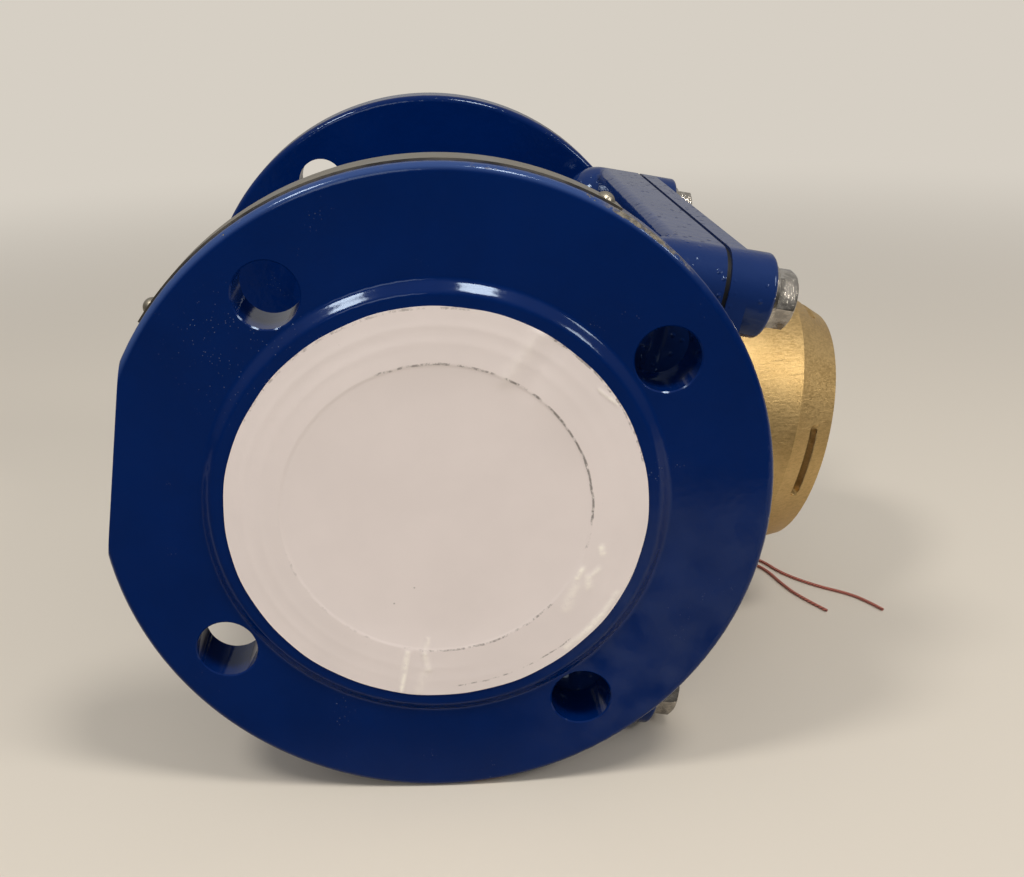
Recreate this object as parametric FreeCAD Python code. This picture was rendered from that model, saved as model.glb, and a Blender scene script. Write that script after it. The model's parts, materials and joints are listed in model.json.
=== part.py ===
"""Turbine water meter for an 80 mm pipe, lying on its flange rims and lower cover bosses.

Pieces are drawn upright, with x across, y along the flow from the inlet flange's bolting face and z up
to the register. lay_down then turns the whole meter about the flow axis onto its side.
"""
import FreeCAD, Part
import math
import os

V = FreeCAD.Vector
X_AXIS = V(1, 0, 0)
Y_AXIS = V(0, 1, 0)
Z_AXIS = V(0, 0, 1)
DIAGONAL = V(1, 1, 1)

# Shared by all cuts and fits
cut_margin = 1.0
same_place = 1e-6
running_clearance = 0.05
thread_clearance = 0.1

# Body casting
face_to_face = 225.0
flange_radius = 100.0
flange_thickness = 18.0
flange_edge_round = 2.5
flange_hole_inset = 20.0
flange_hole_count = 4
flange_hole_radius = 9.5
flange_hole_chamfer = 0.4
raised_face_height = 2.0
raised_face_margin = 1.0
raised_face_slope_width = 3.5
raised_face_round = 3.0
foot_depth = 5.0
bore_radius = 40.0
joint_recess_width = 6.2
joint_recess_depth = 4.0
barrel_wall = 9.0
barrel_root_width = 10.0
barrel_root_length = 16.0
chamber_depth = 5.0
opening_inset = 4.0
opening_corner_radius = 12.0
neck_wall = 11.0
pad_height = 74.0
pad_thickness = 17.0
pad_round = 4.0
pad_gap = 5.5

# Head cover and its bolts
bolt_side_offset = 26.0
boss_radius = 13.0
boss_height = 8.5
boss_round = 1.6
gasket_thickness = 1.5
gasket_inset = 1.0
cover_thickness = 6.0
bolt_radius = 5.0
bolt_hole_clearance = 0.5
bolt_engagement_length = 20.0
column_end_thickness = 8.0
hex_across_flats = 16.0
hex_height = 6.4
hex_chamfer_angle = 30.0
hex_face_share = 0.95
washer_inset = 3.2
washer_thickness = 1.6
bolt_turn_angles = (8.0, 0.0, -17.0, 0.0)

# Register neck and brass ring
register_gap = 6.0
neck_radius = 49.0
seat_wall = 4.0
skirt_width = 5.0
skirt_height = 16.5
web_thickness = 3.7
ring_gap = 2.0
ring_wall = 3.8
ring_bevel_width = 6.3
ring_bevel_height = 15.2
ring_land_width = 4.0
ring_lip_width = 2.5
ring_lip_thickness = 8.5
slot_count = 4
slot_width = 3.2
slot_depth = 3.0
slot_span_angle = 30.0
slot_turn_angle = 1.0

# Sealing lug and thread
lug_offset = 12.0
lug_height = 6.5
lug_radius = 5.0
lug_thickness = 5.0
lug_hole_radius = 1.7
seal_thread_radius = 0.6
thread_rest_gap = 0.1
bend_share = 0.45

# Rating plate and inlet film
film_inset = 3.3
film_thickness = 0.4
plate_thickness = 0.6
plate_width = 11.0
plate_inset = 4.0
plate_start_angle = -65.0
plate_end_angle = 20.5
rivet_inset = 4.2
rivet_radius = 2.6
rivet_height = 1.6
rivet_depth = 6.0

# Measuring insert
insert_gap = 0.4
tube_wall = 6.1
tube_end_gap = 3.5
hanger_thickness = 6.0
column_half_width = 22.0
column_half_length = 20.0
shaft_well_radius = 4.0
insert_screw_radius = 2.5
insert_screw_head_radius = 4.2
insert_screw_head_height = 4.0
insert_screw_cap_thickness = 1.5
insert_screw_inset_x = 11.0
insert_screw_inset_y = 14.0
hub_radius = 12.0
guide_ring_wall = 1.9
guide_ring_gap = 0.1
guide_vane_count = 6
guide_vane_thickness = 2.0
straightener_length = 34.0
nose_length = 10.0
bearing_radius = 4.0
bearing_length = 8.0

# Turbine
rotor_shaft_radius = 2.0
rotor_gap = 2.0
rotor_length = 38.0
rotor_tip_gap = 1.0
rotor_worm_gap = 12.0
blade_count = 6
blade_thickness = 2.0
blade_lead_length = 150.0
blade_stations = 7

# Worm drive and magnetic coupling
worm_module = 1.25
worm_pitch_radius = 5.0
worm_length = 18.0
worm_wheel_teeth = 16
worm_wheel_width = 4.0
mesh_backlash = 0.45
tooth_addendum = 0.85
tooth_dedendum = 1.2
pressure_angle = 20.0
thread_stations = 12
thread_sink = 0.8
spider_gap = 3.0
spider_length = 14.0
spider_arm_count = 3
spider_arm_thickness = 3.0
tail_length = 10.0
upright_shaft_radius = 1.5
footstep_thickness = 5.0
footstep_depth = 3.0
footstep_half_width = 4.0
footstep_gap = 1.0
magnet_radius = 9.0
magnet_height = 7.0
magnet_seat_gap = 7.5
magnet_gap = 2.3
pocket_clearance = 2.5

# Register
can_gap = 0.4
can_wall = 2.0
can_floor_thickness = 2.0
can_rim_inset = 0.6
can_rim_thickness = 2.0
follower_lift_gap = 0.6
follower_height = 3.0
follower_gap = 0.4
movement_thickness = 1.2
movement_foot_count = 3
movement_foot_angle = 30.0
movement_foot_radius = 2.5
arbor_radius = 1.2
arbor_end_length = 1.5
arbor_room_height = 6.0
register_module = 0.8
pinion_teeth = 8
pinion_width = 2.2
pointer_wheel_teeth = 32
pointer_wheel_width = 1.8
pointer_bearing_angle = -80.0
drum_worm_module = 0.625
drum_worm_radius = 3.0
drum_worm_length = 8.0
drum_wheel_teeth = 16
drum_wheel_width = 3.0
drum_radius = 6.5
drum_hub_radius = 2.6
drum_pitch_length = 7.0
drum_gap = 0.4
drum_count = 5
drum_floor_gap = 0.3
bracket_thickness = 1.6
dial_clearance = 0.4
dial_thickness = 1.0
dial_ledge_width = 2.0
dial_side_gap = 0.2
dial_air_gap = 1.0
star_points = 6
star_radius = 6.0
star_thickness = 1.5
pointer_gap = 1.0
pointer_thickness = 1.0
pointer_hub_radius = 2.6
glass_inset = 0.8
glass_thickness = 8.0
glass_seat_gap = 0.4
glass_gasket_thickness = 1.5
glass_gasket_width = 5.2
slip_ring_thickness = 2.5
slip_ring_width = 7.0

# Along the flow
inlet_face = -raised_face_height
outlet_face = inlet_face + face_to_face
outlet_plate = outlet_face - raised_face_height
body_mid = (inlet_face + outlet_face) / 2
head_half_y = body_mid - flange_thickness - pad_gap
bolt_half_span_y = head_half_y - boss_radius
opening_half_length = bolt_half_span_y - opening_inset
tube_half_length = opening_half_length - tube_end_gap
tube_start = body_mid - tube_half_length
tube_end = body_mid + tube_half_length
skirt_radius = neck_radius + skirt_width
register_y = outlet_plate - flange_thickness - register_gap - skirt_radius
rotor_end = register_y - worm_length / 2 - rotor_worm_gap
rotor_start = rotor_end - rotor_length
straightener_end = rotor_start - rotor_gap
straightener_start = straightener_end - straightener_length
spider_start = register_y + worm_length / 2 + spider_gap
shaft_start = straightener_end - bearing_length
shaft_end = spider_start + bearing_length

# Round the flow axis
flange_bolt_radius = flange_radius - flange_hole_inset
raised_face_foot_radius = flange_bolt_radius - flange_hole_radius - raised_face_margin
raised_face_radius = raised_face_foot_radius - raised_face_slope_width
film_radius = raised_face_radius - film_inset
foot_height = flange_radius - foot_depth
joint_recess_radius = bore_radius + joint_recess_width
chamber_radius = bore_radius + chamber_depth
barrel_radius = chamber_radius + barrel_wall
barrel_root_radius = barrel_radius + barrel_root_width
tube_radius = chamber_radius - insert_gap
tube_bore = tube_radius - tube_wall
guide_ring_radius = tube_bore - guide_ring_gap
guide_ring_bore = guide_ring_radius - guide_ring_wall
worm_tip_radius = worm_pitch_radius + tooth_addendum * worm_module
wheel_pitch_radius = worm_module * worm_wheel_teeth / 2
drive_x = worm_pitch_radius + wheel_pitch_radius
footstep_top = -worm_tip_radius - footstep_gap

# Across the head
opening_half_width = chamber_radius
bolt_half_span_x = opening_half_width + bolt_side_offset
head_half_x = bolt_half_span_x + boss_radius
washer_radius = boss_radius - washer_inset
lug_x = skirt_radius + lug_offset
register_seat_radius = neck_radius - seat_wall
can_rim_radius = neck_radius - can_rim_inset
can_radius = register_seat_radius - can_gap
can_bore = can_radius - can_wall
movement_radius = can_bore - dial_ledge_width - dial_side_gap
glass_radius = neck_radius - glass_inset
ring_radius = neck_radius + ring_wall
ring_top_radius = ring_radius - ring_bevel_width
ring_mouth_radius = ring_top_radius - ring_land_width
ring_lip_radius = ring_mouth_radius - ring_lip_width
drum_worm_tip = drum_worm_radius + tooth_addendum * drum_worm_module
drum_y = register_y + drum_worm_radius + drum_worm_module * drum_wheel_teeth / 2
pointer_reach = register_module * (pinion_teeth + pointer_wheel_teeth) / 2
pointer_length = pointer_reach - star_radius - pointer_gap
pointer_x = drive_x + pointer_reach * math.cos(math.radians(pointer_bearing_angle))
pointer_y = register_y + pointer_reach * math.sin(math.radians(pointer_bearing_angle))

# Up through the head, each height standing on the one before it
column_depth = bolt_engagement_length + column_end_thickness
cover_bottom = pad_height + gasket_thickness
cover_top = cover_bottom + cover_thickness
boss_top = cover_top + boss_height
skirt_top = cover_top + skirt_height
lug_eye_height = cover_top + lug_height
hanger_bottom = cover_bottom - hanger_thickness
insert_screw_top = cover_top - insert_screw_cap_thickness
magnet_bottom = cover_bottom + magnet_seat_gap
magnet_top = magnet_bottom + magnet_height
web_bottom = magnet_top + magnet_gap
register_seat_height = web_bottom + web_thickness
can_floor_top = register_seat_height + can_floor_thickness
follower_bottom = can_floor_top + follower_lift_gap
movement_bottom = follower_bottom + follower_height + follower_gap
movement_top = movement_bottom + movement_thickness
drum_z = movement_top + drum_floor_gap + drum_radius
pinion_bottom = drum_z + drum_worm_length / 2 + drum_gap
dial_bottom = max(drum_z + drum_radius, pinion_bottom + pinion_width) + dial_clearance
dial_top = dial_bottom + dial_thickness
hands_bottom = dial_top + dial_air_gap
arbor_end = hands_bottom + star_thickness + arbor_end_length
neck_top = arbor_end + arbor_room_height
can_rim_top = neck_top + can_rim_thickness
glass_bottom = can_rim_top + glass_gasket_thickness
glass_top = glass_bottom + glass_thickness
lip_bottom = glass_top + slip_ring_thickness
ring_top = lip_bottom + ring_lip_thickness
ring_shoulder = ring_top - ring_bevel_height
ring_bottom = skirt_top + ring_gap

# Places that several pieces share
CORNER_SIGNS = ((-1, -1), (1, -1), (-1, 1), (1, 1))
head_corners = [(sx * bolt_half_span_x, body_mid + sy * bolt_half_span_y) for sx, sy in CORNER_SIGNS]
insert_screw_span_x = opening_half_width - insert_screw_inset_x
insert_screw_span_y = opening_half_length - insert_screw_inset_y
insert_screw_places = [(sx * insert_screw_span_x, body_mid + sy * insert_screw_span_y)
                       for sx, sy in CORNER_SIGNS]
register_centre = V(0, register_y, 0)
drive_axis = V(drive_x, register_y, 0)
pointer_axis = V(pointer_x, pointer_y, 0)
drum_axis = V(0, drum_y, drum_z)

# The meter rolls about the flow axis until the lower bosses meet the bench that the rims stand on.
boss_reach = math.hypot(boss_top, head_half_x)
lay_angle = math.degrees(math.atan2(boss_top, head_half_x) - math.acos(flange_radius / boss_reach))


def lay_down(shape):
    """Turn an upright piece about the flow axis so that the register points sideways and a little down."""
    laid = shape.copy()
    laid.rotate(V(0, 0, 0), Y_AXIS, 90 + lay_angle)
    return laid


def laid_point(x, y, z):
    """An upright point after lay_down."""
    turn = FreeCAD.Rotation(Y_AXIS, 90 + lay_angle)
    return turn.multVec(V(x, y, z))


def rod(radius, start, end, axis=Z_AXIS, at=V(0, 0, 0)):
    """Round bar along an axis through a point, between two distances from it."""
    return Part.makeCylinder(radius, end - start, at + axis * start, axis)


def collar(outer, inner, start, end, axis=Z_AXIS, at=V(0, 0, 0)):
    """Plain ring."""
    return rod(outer, start, end, axis, at).cut(rod(inner, start, end, axis, at))


def block(low, high):
    """Box between two corners."""
    size = V(*high) - V(*low)
    return Part.makeBox(size.x, size.y, size.z, V(*low))


def polygon(points):
    """Flat face through the points."""
    return Part.Face(Part.makePolygon(points + points[:1]))


def turned(profile, at=V(0, 0, 0), axis=Z_AXIS):
    """Solid turned from (radius, height) points about an axis through a point."""
    side = Y_AXIS.cross(axis) if axis != Y_AXIS else X_AXIS
    face = polygon([at + side * r + axis * h for r, h in profile])
    return face.revolve(at, axis, 360)


def rounded_plate(half_x, half_y, radius, low, high, y_mid):
    """Upright prism over a rectangle with round corners."""
    plate = block((-half_x, y_mid - half_y, low), (half_x, y_mid + half_y, high))
    uprights = [e for e in plate.Edges if abs(e.tangentAt(e.FirstParameter).z) > 0.99]
    return plate.makeFillet(radius, uprights)


def fused(shapes):
    """One solid from overlapping pieces, without the seams between them."""
    return shapes[0].multiFuse(shapes[1:]).removeSplitter()


def edges_level_with(shape, z):
    """Edges that lie in the plane at z."""
    return [e for e in shape.Edges if max(abs(e.BoundBox.ZMin - z), abs(e.BoundBox.ZMax - z)) < same_place]


def circles_at(shape, radius, y):
    """Circular edges of one radius that lie in the plane at y."""
    circles = [e for e in shape.Edges if isinstance(e.Curve, Part.Circle)]
    return [e for e in circles if max(abs(e.Curve.Radius - radius), abs(e.Curve.Center.y - y)) < same_place]


def gear_teeth_polygon(teeth, module, backlash, turn):
    """Outline of a spur gear with a tooth at the given angle and flanks sloped above the pitch circle."""
    pitch_radius = module * teeth / 2
    half_tooth = math.pi * module / 4 - backlash / 4
    slope = math.tan(math.radians(pressure_angle))
    tip = pitch_radius + tooth_addendum * module
    root = pitch_radius - tooth_dedendum * module
    half_tip = (half_tooth - tooth_addendum * module * slope) / tip
    half_root = half_tooth / pitch_radius
    points = []
    for index in range(teeth):
        mid = math.radians(turn) + 2 * math.pi * index / teeth
        rising = [(root, mid - half_root), (pitch_radius, mid - half_root), (tip, mid - half_tip)]
        falling = [(tip, mid + half_tip), (pitch_radius, mid + half_root), (root, mid + half_root)]
        for radius, angle in rising + falling:
            points.append(V(radius * math.cos(angle), radius * math.sin(angle), 0))
    return points


def spur_gear(teeth, module, width, turn):
    """Unbored gear about z, centred on the plane z = 0."""
    blank = polygon(gear_teeth_polygon(teeth, module, mesh_backlash * module, turn))
    gear = blank.extrude(V(0, 0, width))
    gear.translate(V(0, 0, -width / 2))
    return gear


def worm_screw(module, pitch_radius, length):
    """Unbored single-start worm about y with its thread facing +x at y = 0, one straight run per station."""
    lead = math.pi * module
    half_tooth = lead / 4 - mesh_backlash * module / 4
    slope = math.tan(math.radians(pressure_angle))
    tip = pitch_radius + tooth_addendum * module
    root = pitch_radius - tooth_dedendum * module
    sunk = thread_sink * module
    half_tip = half_tooth - tooth_addendum * module * slope
    half_sunk = half_tooth + (pitch_radius - root) * slope
    steps = int(math.ceil((length / lead + 1) * thread_stations / 2))
    sections = []
    for step in range(-steps, steps + 1):
        angle = 2 * math.pi * step / thread_stations
        height = lead * step / thread_stations
        out = V(math.cos(angle), 0, -math.sin(angle))
        foot = out * (root - sunk) + Y_AXIS * height
        crest = out * tip + Y_AXIS * height
        corners = [foot - Y_AXIS * half_sunk, crest - Y_AXIS * half_tip,
                   crest + Y_AXIS * half_tip, foot + Y_AXIS * half_sunk]
        sections.append(Part.makePolygon(corners + corners[:1]))
    thread = Part.makeLoft(sections, True, True)
    trimmed = thread.common(rod(tip + module, -length / 2, length / 2, Y_AXIS))
    core = rod(root, -length / 2, length / 2, Y_AXIS)
    return core.fuse(trimmed)


def hexagon(across_flats, low, high, at, turn):
    """Six-sided bolt head with its outer corners bevelled."""
    corner = across_flats / math.sqrt(3)
    points = []
    for index in range(6):
        angle = math.radians(turn + 60 * index + 90)
        points.append(at + V(corner * math.cos(angle), corner * math.sin(angle), low))
    prism = polygon(points).extrude(V(0, 0, high - low))
    flat_radius = across_flats / 2 * hex_face_share
    cone_foot = flat_radius + (high - low) / math.tan(math.radians(hex_chamfer_angle))
    bevel = turned([(0, low), (cone_foot, low), (flat_radius, high), (0, high)], at)
    return prism.common(bevel)


def make_flange(joint_face, plate_face, back_face):
    """One flange: plate with rounded rim, raised joint face, bolt holes and foot flat."""
    plate = rod(flange_radius, min(plate_face, back_face), max(plate_face, back_face), Y_AXIS)
    rim = circles_at(plate, flange_radius, plate_face) + circles_at(plate, flange_radius, back_face)
    plate = plate.makeFillet(flange_edge_round, rim)
    foot = raised_face_foot_radius
    joint = turned([(0, back_face), (foot, back_face), (foot, plate_face), (raised_face_radius, joint_face),
                    (0, joint_face)], axis=Y_AXIS)
    flange = fused([plate, joint])
    step = circles_at(flange, raised_face_radius, joint_face) + circles_at(flange, foot, plate_face)
    flange = flange.makeFillet(raised_face_round, step)
    low = inlet_face - cut_margin
    high = outlet_face + cut_margin
    cuts = [block((-flange_radius, low, -2 * flange_radius), (flange_radius, high, -foot_height))]
    for index in range(flange_hole_count):
        angle = math.radians(360 / flange_hole_count * (index + 0.5))
        centre = V(math.cos(angle), 0, math.sin(angle)) * flange_bolt_radius
        cuts.append(rod(flange_hole_radius, low, high, Y_AXIS, centre))
    flange = flange.cut(Part.makeCompound(cuts))
    return flange.makeChamfer(flange_hole_chamfer, circles_at(flange, flange_hole_radius, plate_face))


def make_meter_body():
    """The casting: both flanges, waisted barrel, head pad on its neck and the bolt columns."""
    inlet = make_flange(inlet_face, 0, flange_thickness)
    outlet = make_flange(outlet_face, outlet_plate, outlet_plate - flange_thickness)
    root_low = flange_thickness - cut_margin
    root_high = outlet_plate - root_low
    barrel = turned([(0, root_low), (barrel_root_radius, root_low),
                     (barrel_radius, root_low + barrel_root_length),
                     (barrel_radius, root_high - barrel_root_length),
                     (barrel_root_radius, root_high), (0, root_high)], axis=Y_AXIS)
    pad_bottom = pad_height - pad_thickness
    pad = rounded_plate(head_half_x, head_half_y, boss_radius, pad_bottom, pad_height, body_mid)
    pad = pad.makeFillet(pad_round, edges_level_with(pad, pad_bottom))
    neck = rounded_plate(opening_half_width + neck_wall, opening_half_length + neck_wall,
                         opening_corner_radius + neck_wall, 0, pad_height - pad_thickness / 2, body_mid)
    columns = []
    for x, y in head_corners:
        foot = V(x, y, pad_height - column_depth + boss_radius)
        columns.append(Part.makeSphere(boss_radius, foot))
        columns.append(rod(boss_radius, 0, column_depth - boss_radius, at=foot))
    casting = fused([barrel, inlet, outlet, neck, pad] + columns)
    return casting.cut(Part.makeCompound(body_hollows()))


def body_hollows():
    """Flow passage, joint recesses, chamber with its opening, tapped columns and rivet holes."""
    low = inlet_face - cut_margin
    high = outlet_face + cut_margin
    hollows = [rod(bore_radius, low, high, Y_AXIS),
               rod(joint_recess_radius, low, inlet_face + joint_recess_depth, Y_AXIS),
               rod(joint_recess_radius, outlet_face - joint_recess_depth, high, Y_AXIS),
               rod(chamber_radius, body_mid - opening_half_length, body_mid + opening_half_length, Y_AXIS),
               rounded_plate(opening_half_width, opening_half_length, opening_corner_radius,
                             0, pad_height + cut_margin, body_mid)]
    tapped_bottom = pad_height - bolt_engagement_length - thread_clearance
    tapped_radius = bolt_radius + thread_clearance
    for x, y in head_corners:
        hollows.append(rod(tapped_radius, tapped_bottom, pad_height + cut_margin, at=V(x, y, 0)))
    rivet_bottom = flange_radius - rivet_depth - thread_clearance
    for angle in rivet_angles():
        hollows.append(rod(rivet_radius / 2 + thread_clearance, rivet_bottom, flange_radius + cut_margin,
                           rim_direction(angle), rivet_base()))
    return hollows


def make_inlet_film():
    """Protective film over the whole joint face and the bore behind it."""
    return rod(film_radius, inlet_face - film_thickness, inlet_face, Y_AXIS)


def rim_direction(angle):
    """Outward direction on the flange rim, counted from the -x side towards the register."""
    return V(-math.cos(math.radians(angle)), 0, math.sin(math.radians(angle)))


def rivet_angles():
    """Where the two rivets sit along the strip, in from its ends."""
    inset = math.degrees(rivet_inset / flange_radius)
    return plate_start_angle + inset, plate_end_angle - inset


def rivet_base():
    """Middle of the strip's width, on the flow axis."""
    return V(0, plate_inset + plate_width / 2, 0)


def make_rating_plate():
    """Thin strip bent round the inlet flange's rim."""
    outer = flange_radius + plate_thickness
    back = plate_inset + plate_width
    section = polygon([V(-flange_radius, plate_inset, 0), V(-outer, plate_inset, 0), V(-outer, back, 0),
                       V(-flange_radius, back, 0)])
    strip = section.revolve(V(0, 0, 0), Y_AXIS, plate_end_angle - plate_start_angle)
    strip.rotate(V(0, 0, 0), Y_AXIS, plate_start_angle)
    low = flange_radius - cut_margin
    high = outer + cut_margin
    holes = [rod(rivet_radius / 2, low, high, rim_direction(angle), rivet_base()) for angle in rivet_angles()]
    return strip.cut(Part.makeCompound(holes))


def make_plate_rivets():
    """Two dome-headed drive rivets."""
    rivets = []
    dome_radius = (rivet_radius ** 2 + rivet_height ** 2) / (2 * rivet_height)
    seat = flange_radius + plate_thickness
    for angle in rivet_angles():
        out = rim_direction(angle)
        ball = Part.makeSphere(dome_radius, rivet_base() + out * (seat + rivet_height - dome_radius))
        dome = ball.common(rod(2 * rivet_radius, seat, seat + 2 * rivet_height, out, rivet_base()))
        shank = rod(rivet_radius / 2, flange_radius - rivet_depth, seat + rivet_height / 2, out, rivet_base())
        rivets.append(dome.fuse(shank))
    return Part.makeCompound(rivets)


def make_cover_gasket():
    """Flat gasket with the body's opening and the bolt holes cut out."""
    sheet = rounded_plate(head_half_x - gasket_inset, head_half_y - gasket_inset, boss_radius - gasket_inset,
                          pad_height, cover_bottom, body_mid)
    low = pad_height - cut_margin
    high = cover_bottom + cut_margin
    holes = [rounded_plate(opening_half_width, opening_half_length, opening_corner_radius,
                           low, high, body_mid)]
    for x, y in head_corners:
        holes.append(rod(bolt_radius + bolt_hole_clearance, low, high, at=V(x, y, 0)))
    return sheet.cut(Part.makeCompound(holes))


def make_head_cover():
    """Cover plate with bolt bosses, the neck that seats the register, magnet pocket and sealing lug."""
    plate = rounded_plate(head_half_x, head_half_y, boss_radius, cover_bottom, cover_top, body_mid)
    bosses = []
    for x, y in head_corners:
        boss = rod(boss_radius, cover_bottom, boss_top, at=V(x, y, 0))
        bosses.append(boss.makeFillet(boss_round, edges_level_with(boss, boss_top)))
    root = cover_bottom + cover_thickness / 2
    neck = turned([(0, root), (skirt_radius, root), (skirt_radius, cover_top), (neck_radius, skirt_top),
                   (neck_radius, neck_top), (0, neck_top)], register_centre)
    eye = V(lug_x, register_y - lug_thickness / 2, lug_eye_height)
    lug = rod(lug_radius, 0, lug_thickness, Y_AXIS, eye)
    stem = block((lug_x - lug_radius, eye.y, root),
                 (lug_x + lug_radius, eye.y + lug_thickness, lug_eye_height))
    casting = fused([plate, neck] + bosses + [lug, stem])
    low = cover_bottom - cut_margin
    hollows = [rod(register_seat_radius, register_seat_height, neck_top + cut_margin, at=register_centre),
               rod(magnet_radius + pocket_clearance, low, web_bottom, at=drive_axis),
               rod(lug_hole_radius, -cut_margin, lug_thickness + cut_margin, Y_AXIS, eye)]
    for x, y in head_corners:
        hollows.append(rod(bolt_radius + bolt_hole_clearance, low, boss_top + cut_margin, at=V(x, y, 0)))
    for x, y in insert_screw_places:
        hollows.append(rod(insert_screw_radius + thread_clearance, low, insert_screw_top + thread_clearance,
                           at=V(x, y, 0)))
    return casting.cut(Part.makeCompound(hollows))


def make_bolt_washers():
    """Flat washers on the bosses."""
    hole = bolt_radius + bolt_hole_clearance
    top = boss_top + washer_thickness
    return Part.makeCompound([collar(washer_radius, hole, boss_top, top, at=V(x, y, 0))
                              for x, y in head_corners])


def make_cover_bolts():
    """Hexagon bolts down into the body's tapped columns."""
    seat = boss_top + washer_thickness
    bolts = []
    for (x, y), turn in zip(head_corners, bolt_turn_angles):
        place = V(x, y, 0)
        head = hexagon(hex_across_flats, seat, seat + hex_height, place, turn)
        shank = rod(bolt_radius, pad_height - bolt_engagement_length, seat + hex_height / 2, at=place)
        bolts.append(head.fuse(shank))
    return Part.makeCompound(bolts)


def make_head_ring():
    """Brass ring screwed on the neck, with a bevelled top and spanner slots in the bevel."""
    thread = neck_radius + thread_clearance
    seat = glass_radius + glass_seat_gap
    ring = turned([(thread, ring_bottom), (ring_radius, ring_bottom), (ring_radius, ring_shoulder),
                   (ring_top_radius, ring_top), (ring_mouth_radius, ring_top), (ring_lip_radius, lip_bottom),
                   (seat, lip_bottom), (seat, neck_top), (thread, neck_top)], register_centre)
    slot = ring_slot()
    for index in range(slot_count):
        one = slot.copy()
        one.rotate(V(0, 0, 0), Z_AXIS, 360 / slot_count * index - 90 - slot_span_angle / 2 - slot_turn_angle)
        one.translate(register_centre)
        ring = ring.cut(one)
    return ring


def ring_slot():
    """Cutter for one round-ended slot, square to the ring's bevel, starting over +x about the z axis."""
    slope = math.atan2(ring_bevel_width, ring_bevel_height)
    square = V(math.cos(slope), 0, math.sin(slope))
    along = V(-math.sin(slope), 0, math.cos(slope))
    surface = V((ring_radius + ring_top_radius) / 2, 0, (ring_shoulder + ring_top) / 2)
    floor = surface - square * slot_depth
    proud = surface + square * slot_width
    half = along * (slot_width / 2)
    section = polygon([floor + half, proud + half, proud - half, floor - half])
    run = section.revolve(V(0, 0, 0), Z_AXIS, slot_span_angle)
    first_end = Part.makeCylinder(slot_width / 2, slot_depth + slot_width, floor, square)
    last_end = first_end.copy()
    last_end.rotate(V(0, 0, 0), Z_AXIS, slot_span_angle)
    return fused([run, first_end, last_end])


def make_insert_frame():
    """Measuring tube, the column above it and the plate that hangs under the cover."""
    tube = rod(tube_radius, tube_start, tube_end, Y_AXIS)
    plate = rounded_plate(opening_half_width - insert_gap, opening_half_length - insert_gap,
                          opening_corner_radius - insert_gap, hanger_bottom, cover_bottom, body_mid)
    column = rounded_plate(column_half_width, column_half_length, opening_corner_radius,
                           0, hanger_bottom + hanger_thickness / 2, register_y)
    frame = fused([tube, plate, column])
    high = cover_bottom + cut_margin
    hollows = [rod(tube_bore, tube_start - cut_margin, tube_end + cut_margin, Y_AXIS),
               rod(shaft_well_radius, 0, high, at=drive_axis)]
    for x, y in insert_screw_places:
        hollows.append(rod(insert_screw_radius + thread_clearance, hanger_bottom - cut_margin, high,
                           at=V(x, y, 0)))
    return frame.cut(Part.makeCompound(hollows))


def make_insert_screws():
    """Cheese-head screws up through the hanging plate into the cover."""
    screws = []
    for x, y in insert_screw_places:
        place = V(x, y, 0)
        head_bottom = hanger_bottom - insert_screw_head_height
        head = rod(insert_screw_head_radius, head_bottom, hanger_bottom, at=place)
        head_middle = head_bottom + insert_screw_head_height / 2
        shank = rod(insert_screw_radius, head_middle, insert_screw_top, at=place)
        screws.append(head.fuse(shank))
    return Part.makeCompound(screws)


def radial_vanes(count, thickness, start, end, turn):
    """Flat radial vanes along the flow, from inside the hub into the guide ring."""
    inner = hub_radius / 2
    outer = guide_ring_bore + guide_ring_wall / 2
    vanes = []
    for index in range(count):
        vane = block((inner, start, -thickness / 2), (outer, end, thickness / 2))
        vane.rotate(V(0, 0, 0), Y_AXIS, turn + 360 / count * index)
        vanes.append(vane)
    return vanes


def make_flow_straightener():
    """Guide vanes between a ring and a hub with a rounded nose, bored for the front bearing."""
    ring = collar(guide_ring_radius, guide_ring_bore, straightener_start, straightener_end, Y_AXIS)
    nose = straightener_start + nose_length
    hub = rod(hub_radius, nose, straightener_end, Y_AXIS)
    tip = Part.makeSphere(hub_radius, V(0, nose, 0)).common(rod(hub_radius, straightener_start, nose, Y_AXIS))
    vanes = radial_vanes(guide_vane_count, guide_vane_thickness, nose, straightener_end - rotor_gap, 0)
    whole = fused([hub, tip] + vanes + [ring])
    return whole.cut(rod(bearing_radius, shaft_start, straightener_end + cut_margin, Y_AXIS))


def make_bearing(start):
    """Plain bush of the turbine shaft."""
    hole = rotor_shaft_radius + running_clearance
    return collar(bearing_radius, hole, start, start + bearing_length, Y_AXIS)


def make_turbine_rotor():
    """Hub with helical blades, each a radial section carried along the lead in straight runs."""
    tip = tube_bore - rotor_tip_gap
    hub = rod(hub_radius, rotor_start, rotor_end, Y_AXIS)
    blades = []
    for index in range(blade_count):
        sections = []
        for station in range(blade_stations):
            share = station / (blade_stations - 1)
            angle = 2 * math.pi * (index / blade_count + share * rotor_length / blade_lead_length)
            out = V(math.cos(angle), 0, -math.sin(angle))
            side = Y_AXIS.cross(out) * (blade_thickness / 2)
            base = Y_AXIS * (rotor_start + share * rotor_length)
            corners = [base + out * (hub_radius / 2) - side, base + out * tip - side,
                       base + out * tip + side, base + out * (hub_radius / 2) + side]
            sections.append(Part.makePolygon(corners + corners[:1]))
        blades.append(Part.makeLoft(sections, True, True))
    rotor = hub.multiFuse(blades)
    return rotor.cut(rod(rotor_shaft_radius, rotor_start - cut_margin, rotor_end + cut_margin, Y_AXIS))


def make_rotor_shaft():
    """Turbine shaft between its two bearings."""
    return rod(rotor_shaft_radius, shaft_start, shaft_end, Y_AXIS)


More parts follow.
